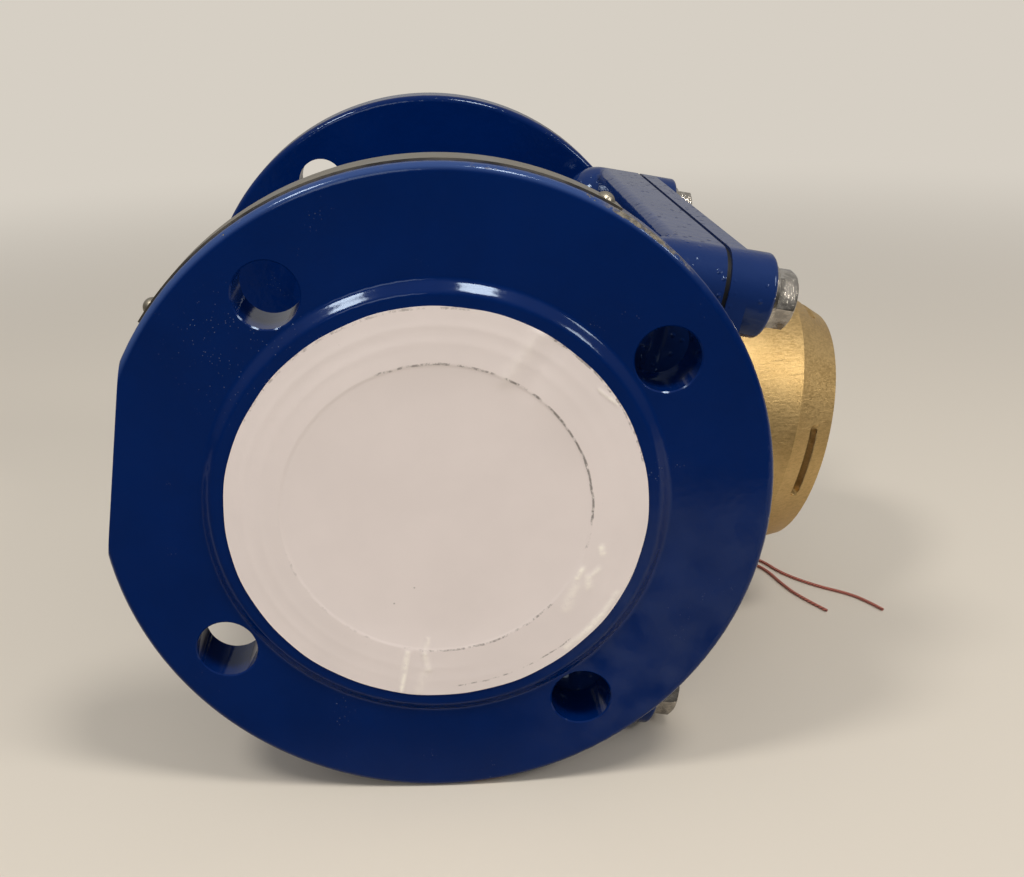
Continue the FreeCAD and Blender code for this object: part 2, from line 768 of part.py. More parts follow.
def make_drive_worm():
    """Worm on the turbine shaft, level with the upright shaft."""
    worm = worm_screw(worm_module, worm_pitch_radius, worm_length)
    worm.translate(register_centre)
    return worm.cut(make_rotor_shaft())


def make_outlet_spider():
    """Rear hub on arms, bored for the rear bearing, with the footstep that carries the upright shaft."""
    end = spider_start + spider_length
    ring = collar(guide_ring_radius, guide_ring_bore, spider_start, end, Y_AXIS)
    hub = turned([(0, spider_start), (hub_radius, spider_start), (hub_radius, end),
                  (hub_radius / 3, end + tail_length), (0, end + tail_length)], axis=Y_AXIS)
    arms = radial_vanes(spider_arm_count, spider_arm_thickness, spider_start, end, 90)
    low = footstep_top - footstep_thickness
    far_x = drive_x + footstep_half_width
    far_y = spider_start + footstep_half_width
    step = block((drive_x - footstep_half_width, register_y - footstep_half_width, low),
                 (far_x, far_y, footstep_top))
    root = block((0, spider_start, low), (far_x, far_y, footstep_top))
    spider = fused([hub, ring] + arms + [step, root])
    pivot = rod(upright_shaft_radius + running_clearance, footstep_top - footstep_depth,
                footstep_top + cut_margin, at=drive_axis)
    seat = rod(bearing_radius, spider_start - cut_margin, shaft_end, Y_AXIS)
    return spider.cut(Part.makeCompound([seat, pivot]))


def make_worm_wheel():
    """Wheel on the upright shaft with a tooth gap facing the worm."""
    wheel = spur_gear(worm_wheel_teeth, worm_module, worm_wheel_width, 180 + 180 / worm_wheel_teeth)
    wheel.translate(drive_axis)
    return wheel.cut(make_transmission_shaft())


def make_transmission_shaft():
    """Upright shaft from the footstep to the magnet."""
    return rod(upright_shaft_radius, footstep_top - footstep_depth, magnet_bottom + magnet_height / 2,
               at=drive_axis)


def make_shaft_bush():
    """Upper bush of the upright shaft, in the hanging plate."""
    return collar(shaft_well_radius, upright_shaft_radius + running_clearance, hanger_bottom, cover_bottom,
                  at=drive_axis)


def make_drive_magnet():
    """Wet half of the magnetic coupling, on top of the upright shaft."""
    return rod(magnet_radius, magnet_bottom, magnet_top, at=drive_axis).cut(make_transmission_shaft())


def make_register_can():
    """Cup that holds the register, with a ledge for the dial and a rim on the neck's top."""
    ledge = can_bore - dial_ledge_width
    return turned([(0, register_seat_height), (can_radius, register_seat_height), (can_radius, neck_top),
                   (can_rim_radius, neck_top), (can_rim_radius, can_rim_top), (can_bore, can_rim_top),
                   (can_bore, dial_bottom), (ledge, dial_bottom), (ledge, can_floor_top), (0, can_floor_top)],
                  register_centre)


def drum_start(index):
    """Low x side of a number drum, the first one just clear of the upright worm."""
    return drive_x - drum_worm_tip - drum_gap - drum_pitch_length * (index + 1)


def bracket_starts():
    """Low x sides of the two brackets that hold the drum axle, beyond the last drum and the worm wheel."""
    return drum_start(drum_count - 1) - drum_gap - bracket_thickness, drive_x + drum_wheel_width


def make_movement_plate():
    """Gear plate on its feet with two brackets for the drum axle."""
    plate = rod(movement_radius, movement_bottom, movement_top, at=register_centre)
    foot_reach = movement_radius - 2 * movement_foot_radius
    feet = []
    for index in range(movement_foot_count):
        angle = math.radians(movement_foot_angle + 360 / movement_foot_count * index)
        place = register_centre + V(math.cos(angle), math.sin(angle), 0) * foot_reach
        feet.append(rod(movement_foot_radius, can_floor_top, movement_top, at=place))
    half = 2 * arbor_radius
    bracket_top = drum_z + half
    brackets = [block((low_x, drum_y - half, movement_bottom),
                      (low_x + bracket_thickness, drum_y + half, bracket_top)) for low_x in bracket_starts()]
    whole = fused([plate] + feet + brackets)
    low = movement_bottom - cut_margin
    high = movement_top + cut_margin
    hole = arbor_radius + running_clearance
    holes = [rod(hole, low, high, at=axis) for axis in (drive_axis, pointer_axis)]
    axle_hole = rod(arbor_radius, -can_radius, can_radius, X_AXIS, drum_axis)
    return whole.cut(Part.makeCompound(holes + [axle_hole]))


def make_drum_axle():
    """Fixed axle of the number drums."""
    first, last = bracket_starts()
    return rod(arbor_radius, first, last + bracket_thickness, X_AXIS, drum_axis)


def number_drum(index):
    """One plain drum on the axle."""
    start = drum_start(index)
    return collar(drum_radius, arbor_radius + running_clearance, start + drum_gap, start + drum_pitch_length,
                  X_AXIS, drum_axis)


def make_first_drum():
    """Fastest drum, moulded with the worm wheel that turns it."""
    wheel = spur_gear(drum_wheel_teeth, drum_worm_module, drum_wheel_width, 180 + 180 / drum_wheel_teeth)
    wheel.rotate(V(0, 0, 0), DIAGONAL, 120)
    wheel.translate(drum_axis + X_AXIS * drive_x)
    hub = rod(drum_hub_radius, drum_start(0) + drum_pitch_length / 2, drive_x, X_AXIS, drum_axis)
    bore = rod(arbor_radius + running_clearance, -can_radius, can_radius, X_AXIS, drum_axis)
    return number_drum(0).multiFuse([hub.cut(bore), wheel.cut(bore)])


def make_number_drums():
    """The slower drums."""
    return Part.makeCompound([number_drum(index) for index in range(1, drum_count)])


def make_follower_magnet():
    """Dry half of the magnetic coupling."""
    follower_top = follower_bottom + follower_height
    return collar(magnet_radius, arbor_radius, follower_bottom, follower_top, at=drive_axis)


def make_follower_arbor():
    """Arbor over the coupling with the drum worm and the pinion cut on it."""
    arbor = rod(arbor_radius, can_floor_top + running_clearance, arbor_end, at=drive_axis)
    worm = worm_screw(drum_worm_module, drum_worm_radius, drum_worm_length)
    worm.rotate(V(0, 0, 0), DIAGONAL, 120)
    worm.translate(drive_axis + Z_AXIS * drum_z)
    pinion = spur_gear(pinion_teeth, register_module, pinion_width, pointer_bearing_angle)
    pinion.translate(drive_axis + Z_AXIS * (pinion_bottom + pinion_width / 2))
    return arbor.multiFuse([worm, pinion])


def make_flow_star():
    """Star wheel that turns over the dial with the smallest flow."""
    points = []
    for index in range(2 * star_points):
        radius = star_radius if index % 2 == 0 else star_radius / 2
        angle = math.pi * index / star_points
        points.append(drive_axis + V(radius * math.cos(angle), radius * math.sin(angle), hands_bottom))
    star = polygon(points).extrude(Z_AXIS * star_thickness)
    return star.cut(rod(arbor_radius, dial_bottom, arbor_end, at=drive_axis))


def make_pointer_wheel():
    """Wheel driven by the pinion, with its arbor up through the dial."""
    turn = pointer_bearing_angle + 180 + 180 / pointer_wheel_teeth
    wheel = spur_gear(pointer_wheel_teeth, register_module, pointer_wheel_width, turn)
    wheel.translate(pointer_axis + Z_AXIS * (pinion_bottom + pinion_width / 2))
    return wheel.fuse(rod(arbor_radius, movement_bottom, arbor_end, at=pointer_axis))


def make_litre_pointer():
    """Tapered pointer pressed on its arbor."""
    hub = rod(pointer_hub_radius, hands_bottom, hands_bottom + pointer_thickness, at=pointer_axis)
    base = pointer_axis + Z_AXIS * hands_bottom
    half = X_AXIS * (pointer_hub_radius / 2)
    outline = polygon([base - half, base + half, base - Y_AXIS * pointer_length])
    blade = outline.extrude(Z_AXIS * pointer_thickness)
    return hub.fuse(blade).cut(rod(arbor_radius, dial_bottom, arbor_end, at=pointer_axis))


def make_dial_plate():
    """Dial with a window over the drums and holes for the two arbors."""
    disc = rod(can_bore - dial_side_gap, dial_bottom, dial_top, at=register_centre)
    low = dial_bottom - cut_margin
    high = dial_top + cut_margin
    window = block((drum_start(drum_count - 1), drum_y - drum_radius / 2, low),
                   (drum_start(0) + drum_pitch_length + drum_gap, drum_y + drum_radius / 2, high))
    hole = arbor_radius + dial_air_gap / 2
    holes = [rod(hole, low, high, at=axis) for axis in (drive_axis, pointer_axis)]
    return disc.cut(Part.makeCompound(holes + [window]))


def make_glass_gasket():
    """Soft ring under the glass."""
    bore = glass_radius - glass_gasket_width
    return collar(glass_radius, bore, can_rim_top, glass_bottom, at=register_centre)


def make_register_glass():
    """Thick window."""
    return rod(glass_radius, glass_bottom, glass_top, at=register_centre)


def make_slip_ring():
    """Thin ring between the glass and the brass lip."""
    return collar(glass_radius, glass_radius - slip_ring_width, glass_top, lip_bottom, at=register_centre)


def thread_tube(name, points):
    """Tube along straight runs joined by the largest tangent arcs that the runs allow."""
    edges = []
    radii = []
    start = points[0]
    for before, corner, after in zip(points, points[1:], points[2:]):
        inward = (before - corner).normalize()
        outward = (after - corner).normalize()
        half_turn = (math.pi - inward.getAngle(outward)) / 2
        reach = bend_share * min(corner.distanceToPoint(before), corner.distanceToPoint(after))
        radius = reach / math.tan(half_turn)
        bisector = (inward + outward).normalize()
        middle = corner + bisector * (radius / math.cos(half_turn) - radius)
        first = corner + inward * reach
        last = corner + outward * reach
        edges.append(Part.LineSegment(start, first).toShape())
        edges.append(Part.Arc(first, middle, last).toShape())
        radii.append(radius)
        start = last
    edges.append(Part.LineSegment(start, points[-1]).toShape())
    path = Part.Wire(edges)
    section = Part.Wire(Part.Circle(points[0], points[1] - points[0], seal_thread_radius).toShape())
    tube = path.makePipeShell([section], True, True)
    ideal = math.pi * seal_thread_radius ** 2 * path.Length
    print(name, "length", round(path.Length, 1), "radii", [round(r, 1) for r in radii],
          "volume ratio", round(tube.Volume / ideal, 4))
    return tube


def thread_start():
    """Where the thread lies in the lug's hole, on its lower side, once the meter is laid down."""
    eye = laid_point(lug_x, register_y, lug_eye_height)
    return eye - V(0, 0, lug_hole_radius - seal_thread_radius - thread_rest_gap)


def thread_route(run_out, on_bench):
    """Route from the lug's hole: the hand-set points in the air, then those on the bench."""
    bench = -flange_radius + seal_thread_radius + thread_rest_gap
    start = thread_start()
    return [start] + [start + V(*step) for step in run_out] + [V(x, y, bench) for x, y in on_bench]


def make_seal_thread_a():
    """Longer tail, out of the lug's far side and round to the front."""
    run_out = [(0, 5, 0), (2.2, 10.5, -2.2), (8, 17, -7), (18, 22.5, -12.2)]
    on_bench = [(106, 169), (122.5, 169.8), (137, 164.5), (146.8, 153.5), (151.5, 141.5), (162.5, 129),
                (174.6, 120.6), (180.2, 113), (183.6, 106.2)]
    return thread_tube("seal_thread_a", thread_route(run_out, on_bench))


def make_seal_thread_b():
    """Shorter tail, out of the lug's near side and round inside the other."""
    run_out = [(0, -5, 0), (3, -9.5, -2.6), (10, -11.8, -7.4), (19.5, -8.5, -12.4)]
    on_bench = [(106, 139), (120, 148.5), (132.5, 154.3), (141.6, 152.4), (146.2, 144.2), (148.8, 132.5),
                (152.8, 120), (160.7, 107)]
    return thread_tube("seal_thread_b", thread_route(run_out, on_bench))


UPRIGHT_PIECES = {
    "meter_body": make_meter_body,
    "inlet_film": make_inlet_film,
    "rating_plate": make_rating_plate,
    "plate_rivets": make_plate_rivets,
    "cover_gasket": make_cover_gasket,
    "head_cover": make_head_cover,
    "bolt_washers": make_bolt_washers,
    "cover_bolts": make_cover_bolts,
    "head_ring": make_head_ring,
    "insert_frame": make_insert_frame,
    "insert_screws": make_insert_screws,
    "flow_straightener": make_flow_straightener,
    "front_bearing": lambda: make_bearing(shaft_start),
    "rear_bearing": lambda: make_bearing(spider_start),
    "turbine_rotor": make_turbine_rotor,
    "rotor_shaft": make_rotor_shaft,
    "drive_worm": make_drive_worm,
    "outlet_spider": make_outlet_spider,
    "worm_wheel": make_worm_wheel,
    "transmission_shaft": make_transmission_shaft,
    "shaft_bush": make_shaft_bush,
    "drive_magnet": make_drive_magnet,
    "register_can": make_register_can,
    "movement_plate": make_movement_plate,
    "drum_axle": make_drum_axle,
    "first_drum": make_first_drum,
    "number_drums": make_number_drums,
    "follower_magnet": make_follower_magnet,
    "follower_arbor": make_follower_arbor,
    "flow_star": make_flow_star,
    "pointer_wheel": make_pointer_wheel,
    "litre_pointer": make_litre_pointer,
    "dial_plate": make_dial_plate,
    "glass_gasket": make_glass_gasket,
    "register_glass": make_register_glass,
    "slip_ring": make_slip_ring,
}

LAID_PIECES = {
    "seal_thread_a": make_seal_thread_a,
    "seal_thread_b": make_seal_thread_b,
}


def main():
    """Build every piece, lay the meter down and write one file for each."""
    os.makedirs("parts", exist_ok=True)
    for name, make in UPRIGHT_PIECES.items():
        lay_down(make()).exportStep("parts/" + name + ".step")
    for name, make in LAID_PIECES.items():
        make().exportStep("parts/" + name + ".step")
    print("lay angle", round(lay_angle, 3))


main()
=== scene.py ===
"""Flanged turbine water meter lying on its side: fine surfaces, finishes, sealing thread and stage.

The upright axes used here are the casting's own: x across, y along the flow, z towards the register.
Finishes read places in the frame that the meter lies in, in metres, with the flow axis along y.
"""
import json
import math

import bmesh
import bpy
import numpy as np
from mathutils import Matrix, Vector


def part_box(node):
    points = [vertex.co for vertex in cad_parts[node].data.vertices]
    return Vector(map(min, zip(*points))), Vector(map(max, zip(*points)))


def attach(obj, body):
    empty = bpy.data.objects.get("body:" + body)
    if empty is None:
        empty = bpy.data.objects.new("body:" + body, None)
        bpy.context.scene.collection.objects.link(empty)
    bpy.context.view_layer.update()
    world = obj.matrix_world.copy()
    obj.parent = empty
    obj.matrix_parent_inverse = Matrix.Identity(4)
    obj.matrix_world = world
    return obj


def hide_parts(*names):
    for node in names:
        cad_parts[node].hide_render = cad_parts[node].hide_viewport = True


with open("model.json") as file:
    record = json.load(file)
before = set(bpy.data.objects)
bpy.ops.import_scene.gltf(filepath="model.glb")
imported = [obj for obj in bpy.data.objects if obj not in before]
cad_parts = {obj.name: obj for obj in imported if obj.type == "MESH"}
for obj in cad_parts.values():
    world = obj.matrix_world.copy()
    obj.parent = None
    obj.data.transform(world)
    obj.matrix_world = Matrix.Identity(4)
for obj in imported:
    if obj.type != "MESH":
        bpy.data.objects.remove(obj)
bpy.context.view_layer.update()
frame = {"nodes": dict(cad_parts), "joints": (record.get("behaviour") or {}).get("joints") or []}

bl_info = {
    "name": "Turbine water meter",
    "version": (1, 0, 0),
    "blender": (4, 5, 0),
    "location": "View3D > Sidebar > Water meter",
    "description": "Surfaces, finishes, thread and stage of a flanged turbine water meter",
    "category": "Object",
}

MM = 0.001
FULL_TURN = 2 * math.pi

JOINTS = {joint["name"]: joint for joint in frame["joints"]}
FLOW = np.array([0.0, 1.0, 0.0])
REGISTER = np.array(JOINTS["transmission_spin"]["axis"])
ACROSS = np.cross(FLOW, REGISTER)
UPRIGHT = np.column_stack([ACROSS, FLOW, REGISTER])
FLOOR_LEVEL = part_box("meter_body")[0].z


def node_reach(node):
    """Lowest and highest corner of a CAD node in the upright axes, in metres."""
    mesh = frame["nodes"][node].data
    flat = np.empty(len(mesh.vertices) * 3)
    mesh.vertices.foreach_get("co", flat)
    points = flat.reshape(-1, 3) @ UPRIGHT
    return points.min(0), points.max(0)


def srgb(red, green, blue):
    """Linear colour from the 0 to 255 values of a screen colour."""
    parts = np.array([red, green, blue]) / 255
    linear = np.where(parts <= 0.04045, parts / 12.92, ((parts + 0.055) / 1.055) ** 2.4)
    return tuple(float(part) for part in linear)


def dimmed(tone, share):
    """A colour brought down, or up, to a share of itself."""
    return tuple(share * part for part in tone)


def colour(name, description, value):
    """Colour property with its default."""
    return bpy.props.FloatVectorProperty(name=name, description=description, subtype="COLOR", size=3,
                                         min=0, max=1, default=value)


def length(name, description, value):
    """Length property with its default, in metres."""
    return bpy.props.FloatProperty(name=name, description=description, default=value, min=0,
                                   unit="LENGTH", precision=4)


class MeterFinish(bpy.types.PropertyGroup):
    """Colours of the meter's finishes."""

    paint: colour("Paint", "Stoving enamel on the castings", srgb(0, 29, 86))
    # Lighter blue: a painted highlight along the top of the front rim's edge, and a slight lightening of
    # the waist
    paint_edge: colour("Paint edge", "Enamel where it is drawn thin", srgb(70, 96, 152))
    bare_iron: colour("Bare iron", "Metal where the enamel is rubbed off", srgb(126, 118, 104))
    rust: colour("Rust", "Brown iron in the deeper chips", srgb(96, 62, 34))
    dust: colour("Dust", "Nibs of dust caught in the enamel", srgb(150, 160, 190))
    film: colour("Film", "Protective film over the inlet", srgb(226, 216, 214))
    # Painted highlight: white laid along the film's folds, its glints and a strip by its rim
    film_crease: colour("Film crease", "Whitened folds in the film", srgb(252, 246, 236))
    film_dirt: colour("Film dirt", "Grime along the film's edges", srgb(62, 56, 52))
    brass: colour("Brass", "Blasted brass of the register ring", srgb(219, 187, 130))
    zinc: colour("Zinc", "Plate on the bolts and washers", srgb(208, 201, 190))
    strip: colour("Strip", "Rolled strip round the rim", srgb(172, 164, 148))
    rubber: colour("Gasket rubber", "Gasket between body and cover", srgb(8, 10, 16))
    thread: colour("Thread", "Sealing thread", srgb(206, 124, 110))
    grey: colour("Grey moulding", "Frame, vanes and spider of the insert", srgb(112, 116, 120))
    ivory: colour("Ivory moulding", "Turbine, worm and wheels", srgb(222, 214, 190))
    bearing: colour("Bearing black", "Bearings and bushes", srgb(30, 30, 32))
    ferrite: colour("Ferrite", "Both halves of the magnetic coupling", srgb(56, 52, 52))
    steel: colour("Steel", "Shafts and screws", srgb(196, 196, 198))
    drum: colour("Drum black", "Number drums and slip ring", srgb(26, 26, 28))
    figure: colour("Figure white", "Figures on the drums", srgb(232, 232, 226))
    signal: colour("Signal red", "Pointer and flow star", srgb(190, 26, 24))
    movement: colour("Movement brass", "Plate and arbor of the register", srgb(190, 150, 84))
    dial: colour("Dial", "Dial enamel", srgb(240, 240, 236))
    dial_shade: colour("Dial shade", "Dial enamel where it is duller", srgb(228, 228, 222))
    ink: colour("Ink", "Print on the dial", srgb(24, 24, 26))
    glass_rubber: colour("Glass rubber", "Gasket under the glass", srgb(20, 20, 22))
    glass: colour("Glass", "Register window", srgb(246, 250, 249))
    floor: colour("Floor", "Plain floor and backdrop", srgb(214, 207, 196))
    lamp: colour("Lamp", "Light of the lamps", srgb(255, 250, 242))


class MeterSizes(bpy.types.PropertyGroup):
    """Sizes of what is added to the solids."""

    film_sink: length("Film sink", "How far the film sags into the bore", 0.9 * MM)
    film_crease: length("Film crease", "Height of the film's sharpest creases", 0.35 * MM)
    thread_diameter: length("Thread diameter", "Thickness of the sealing thread", 1.2 * MM)
    focal_pixels: bpy.props.FloatProperty(name="Focal length", default=1156.6, min=1,
                                          description="Camera's focal length in image pixels")


def finish():
    """The scene's colours."""
    return bpy.context.scene.meter_finish


def sizes():
    """The scene's sizes."""
    return bpy.context.scene.meter_sizes


# Names of a Map Range node's bounds, and a Mix node's sockets: first value, second value and result
RANGE_SOCKETS = ("From Min", "From Max", "To Min", "To Max")
MIX_NUMBERS = (2, 3, 0)
MIX_COLOURS = (6, 7, 2)


class Nodes:
    """Short calls that add nodes to a shader tree and link them."""

    def __init__(self, tree):
        self.tree = tree

    def feed(self, socket, value):
        """Link an output to a socket, or set a plain number or colour on it."""
        if isinstance(value, bpy.types.NodeSocket):
            self.tree.links.new(value, socket)
        elif isinstance(value, (int, float)):
            socket.default_value = value
        else:
            socket.default_value = (*value, 1) if len(socket.default_value) == 4 else value

    def math(self, operation, first, second=0.0):
        """One arithmetic step."""
        node = self.tree.nodes.new("ShaderNodeMath")
        node.operation = operation
        self.feed(node.inputs[0], first)
        self.feed(node.inputs[1], second)
        return node.outputs[0]

    def plus(self, first, second):
        """Sum of two numbers."""
        return self.math("ADD", first, second)

    def times(self, first, second):
        """Product of two numbers."""
        return self.math("MULTIPLY", first, second)

    def most(self, first, second):
        """Larger of two numbers."""
        return self.math("MAXIMUM", first, second)

    def span(self, first, second):
        """Root of the sum of two squares."""
        return self.math("SQRT", self.plus(self.times(first, first), self.times(second, second)))

    def ramp(self, value, low, high, out_low=0.0, out_high=1.0, course="LINEAR"):
        """A value carried from one range to another and held at the ends."""
        node = self.tree.nodes.new("ShaderNodeMapRange")
        node.interpolation_type = course
        self.feed(node.inputs["Value"], value)
        for name, number in zip(RANGE_SOCKETS, (low, high, out_low, out_high)):
            node.inputs[name].default_value = number
        return node.outputs["Result"]

    def ease(self, value, low, high, out_low=0.0, out_high=1.0):
        """A ramp that starts and ends gently."""
        return self.ramp(value, low, high, out_low, out_high, "SMOOTHSTEP")

    def fade(self, value, low, high):
        """1 up to a value, easing to 0 at a higher one."""
        return self.ease(value, low, high, 1.0, 0.0)

    def band(self, value, low, high, soft):
        """1 between two values, falling to 0 within a soft edge outside them."""
        return self.times(self.ease(value, low - soft, low), self.fade(value, high, high + soft))

    def mixed(self, share, first, second, kind, sockets):
        """Blend of two values of a kind, on the Mix node's sockets for that kind."""
        node = self.tree.nodes.new("ShaderNodeMix")
        node.data_type = kind
        start, end, result = sockets
        self.feed(node.inputs["Factor"], share)
        self.feed(node.inputs[start], first)
        self.feed(node.inputs[end], second)
        return node.outputs[result]

    def mix(self, share, first, second):
        """Blend of two colours."""
        return self.mixed(share, first, second, "RGBA", MIX_COLOURS)

    def level(self, share, first, second):
        """Blend of two numbers."""
        return self.mixed(share, first, second, "FLOAT", MIX_NUMBERS)

    def rays(self):
        """Whether a ray comes from a reflection, and whether it shows the place as plain background."""
        paths = self.tree.nodes.new("ShaderNodeLightPath").outputs
        return paths["Is Glossy Ray"], self.most(paths["Is Camera Ray"], paths["Is Transmission Ray"])


# What noise mostly keeps to between 0 and 1
NOISE_SPAN = (0.3, 0.7)


class Finish(Nodes):
    """A material under construction: a Principled shader and the fields that feed it."""

    def __init__(self, name, base, roughness, metallic=0.0):
        self.material = bpy.data.materials.new(name)
        self.material.use_nodes = True
        super().__init__(self.material.node_tree)
        self.shader = self.tree.nodes["Principled BSDF"]
        self.set("Base Color", base).set("Roughness", roughness).set("Metallic", metallic)
        self.place = self.tree.nodes.new("ShaderNodeTexCoord").outputs["Object"]

    def set(self, socket, value):
        """Feed one of the shader's own sockets."""
        self.feed(self.shader.inputs[socket], value)
        return self

    def parts(self, vector=None):
        """x, y and z of a vector, by default of the place."""
        node = self.tree.nodes.new("ShaderNodeSeparateXYZ")
        self.feed(node.inputs[0], vector or self.place)
        return node.outputs

    def pipe_radius(self):
        """Distance from the flow axis."""
        x, _, z = self.parts()
        return self.span(x, z)

    def clock(self):
        """Angle round the flow axis in radians, 0 towards +x and a quarter turn towards +z."""
        x, _, z = self.parts()
        return self.math("ARCTAN2", z, x)

    def stretched(self, scale):
        """The place scaled by a different amount along each axis."""
        node = self.tree.nodes.new("ShaderNodeMapping")
        self.feed(node.inputs["Vector"], self.place)
        node.inputs["Scale"].default_value = scale
        return node.outputs[0]

    def noise(self, scale, detail=3.0, roughness=0.55, vector=None):
        """Fractal noise from 0 to 1, with scale in cycles per metre."""
        node = self.tree.nodes.new("ShaderNodeTexNoise")
        self.feed(node.inputs["Vector"], vector or self.place)
        node.inputs["Scale"].default_value = scale
        node.inputs["Detail"].default_value = detail
        node.inputs["Roughness"].default_value = roughness
        return node.outputs["Fac"]

    def dots(self, scale, inner, outer):
        """Round dots about scattered points: 1 inside a share of their spacing, 0 outside a larger one."""
        node = self.tree.nodes.new("ShaderNodeTexVoronoi")
        self.feed(node.inputs["Vector"], self.place)
        node.inputs["Scale"].default_value = scale
        return self.fade(node.outputs["Distance"], inner, outer)

    def clouded(self, field, low, high, tone, share):
        """A colour, dimmed to a share of itself where a field is low."""
        return self.mix(self.ease(field, low, high), dimmed(tone, share), tone)

    def bump(self, height, distance, strength=1.0, under=None):
        """Surface relief from a height between 0 and 1, worth a distance in metres."""
        node = self.tree.nodes.new("ShaderNodeBump")
        node.inputs["Strength"].default_value = strength
        node.inputs["Distance"].default_value = distance
        self.feed(node.inputs["Height"], height)
        if under is not None:
            self.feed(node.inputs["Normal"], under)
        return node.outputs[0]


# Enamel: depths from the inlet flange's bolting face, radii from the flow axis, arcs in radians round it
FRONT_DEPTH = (0.6 * MM, 2.0 * MM)
EDGE_RADII = (97.8 * MM, 99.2 * MM)
EDGE_DEPTH = (-1.0 * MM, 3.0 * MM)
EDGE_DEPTH_SOFT = 1.0 * MM
# Painted highlight: along this top arc of the front rim's edge the enamel is mixed towards a lighter blue,
# as if lit from above; the waist is lightened by its own share
LIT_EDGE_ARC = (1.0, 2.5)
LIT_EDGE_ARC_SOFT = 0.4
LIT_EDGE_SHARE = 0.45
WAIST_LIGHTEN_SHARE = 0.12
RUB_ARC = (0.82, 1.02)
RUB_ARC_SOFT = 0.08
CHIP_ARC = (-1.46, -1.38)
CHIP_ARC_SOFT = 0.03
NIB_PATCH_X = -52.0 * MM
NIB_PATCH_Z = 50.0 * MM
NIB_PATCH_RADII = (6.0 * MM, 26.0 * MM)
NIB_PATCH_SHARE = 0.9
STEP_RADII = (65.8 * MM, 69.8 * MM)
STEP_RISE = 0.88 * MM
CAST_DEPTH = (20.0 * MM, 30.0 * MM)
WAIST_DEPTH = (26.0 * MM, 188.0 * MM)
WAIST_DEPTH_SOFT = 8.0 * MM
ENAMEL_GLOSS = 0.35
ENAMEL_TINT = (0.62, 0.78, 1.0)


def edge_wear(look, turn, edge):
    """Bare metal and a deep chip on the front edge, where noise added to the edge's own weight is high."""
    ragged = look.plus(look.times(look.noise(260, 5, 0.7), 0.9), edge)
    rub = look.times(look.ease(ragged, 1.32, 1.42), look.band(turn, *RUB_ARC, RUB_ARC_SOFT))
    nick = look.times(look.ease(ragged, 1.54, 1.6), look.ease(look.noise(60, 2), 0.5, 0.6))
    chip = look.times(look.ease(ragged, 1.3, 1.4), look.band(turn, *CHIP_ARC, CHIP_ARC_SOFT))
    return look.most(rub, nick), chip


def dust_nibs(look, x, z, front):
    """Dust caught in the enamel: fine dots in a round patch on the flange's front and in loose drifts."""
    away = look.span(look.math("SUBTRACT", x, NIB_PATCH_X), look.math("SUBTRACT", z, NIB_PATCH_Z))
    patch = look.ease(away, *NIB_PATCH_RADII, NIB_PATCH_SHARE, 0.0)
    strewn = look.most(look.times(patch, front), look.ease(look.noise(48, 2), 0.6, 0.75))
    nibs = look.times(look.dots(900, 0.1, 0.18), look.ease(look.noise(260, 1), 0.42, 0.56))
    return look.times(nibs, strewn)


def cast_relief(look, radius, along, front, waist):
    """Sloped step of the joint face, then the casting's grain and pimples, then orange peel over all."""
    slope = look.times(look.fade(radius, *STEP_RADII), front)
    step = look.bump(slope, STEP_RISE)
    grain = look.times(look.noise(210, 3), look.ease(along, *CAST_DEPTH))
    cast = look.bump(grain, 0.7 * MM, 0.35, step)
    pimples = look.times(look.dots(300, 0.0, 0.3), look.ease(look.noise(80, 2), 0.46, 0.56))
    cast = look.bump(look.times(pimples, waist), 0.6 * MM, 0.6, cast)
    return look.bump(look.noise(330, 2, 0.4), 0.12 * MM, 0.3, cast)


def blue_enamel():
    """Thick glossy enamel over cast iron: orange peel, dust nibs, a rubbed rim and a brown chip below;
    lighter over the waist, and a painted highlight of lighter blue along the top of the front rim's edge.
    """
    look = Finish("blue_enamel", finish().paint, 0.14)
    turn = look.clock()
    radius = look.pipe_radius()
    x, along, z = look.parts()
    front = look.fade(along, *FRONT_DEPTH)
    waist = look.band(along, *WAIST_DEPTH, WAIST_DEPTH_SOFT)
    edge = look.times(look.ease(radius, *EDGE_RADII), look.band(along, *EDGE_DEPTH, EDGE_DEPTH_SOFT))
    bare, chip = edge_wear(look, turn, edge)
    worn = look.most(bare, chip)
    dust = dust_nibs(look, x, z, front)
    # Painted highlight on the top arc of the front rim's edge, plus a smaller lightening over the whole
    # waist
    lit_upper_edge = look.times(edge, look.band(turn, *LIT_EDGE_ARC, LIT_EDGE_ARC_SOFT))
    thin = look.most(look.times(lit_upper_edge, LIT_EDGE_SHARE), look.times(waist, WAIST_LIGHTEN_SHARE))
    tone = look.clouded(look.noise(30, 4), *NOISE_SPAN, finish().paint, 0.85)
    tone = look.mix(look.times(dust, 0.3), tone, finish().dust)
    tone = look.mix(thin, tone, finish().paint_edge)
    iron = look.clouded(look.noise(700, 3), 0.4, 0.6, finish().bare_iron, 0.5)
    tone = look.mix(bare, tone, iron)
    look.set("Base Color", look.mix(chip, tone, finish().rust))
    smear = look.ease(look.noise(24, 5, 0.65), 0.35, 0.75, 0.08, 0.16)
    look.set("Roughness", look.plus(smear, look.times(worn, 0.45)))
    lumps = look.bump(dust, 0.2 * MM, 0.9, cast_relief(look, radius, along, front, waist))
    look.set("Normal", look.bump(look.math("SUBTRACT", 1.0, worn), 0.12 * MM, 0.9, lumps))
    look.set("Specular IOR Level", ENAMEL_GLOSS).set("Specular Tint", ENAMEL_TINT)
    return look.material


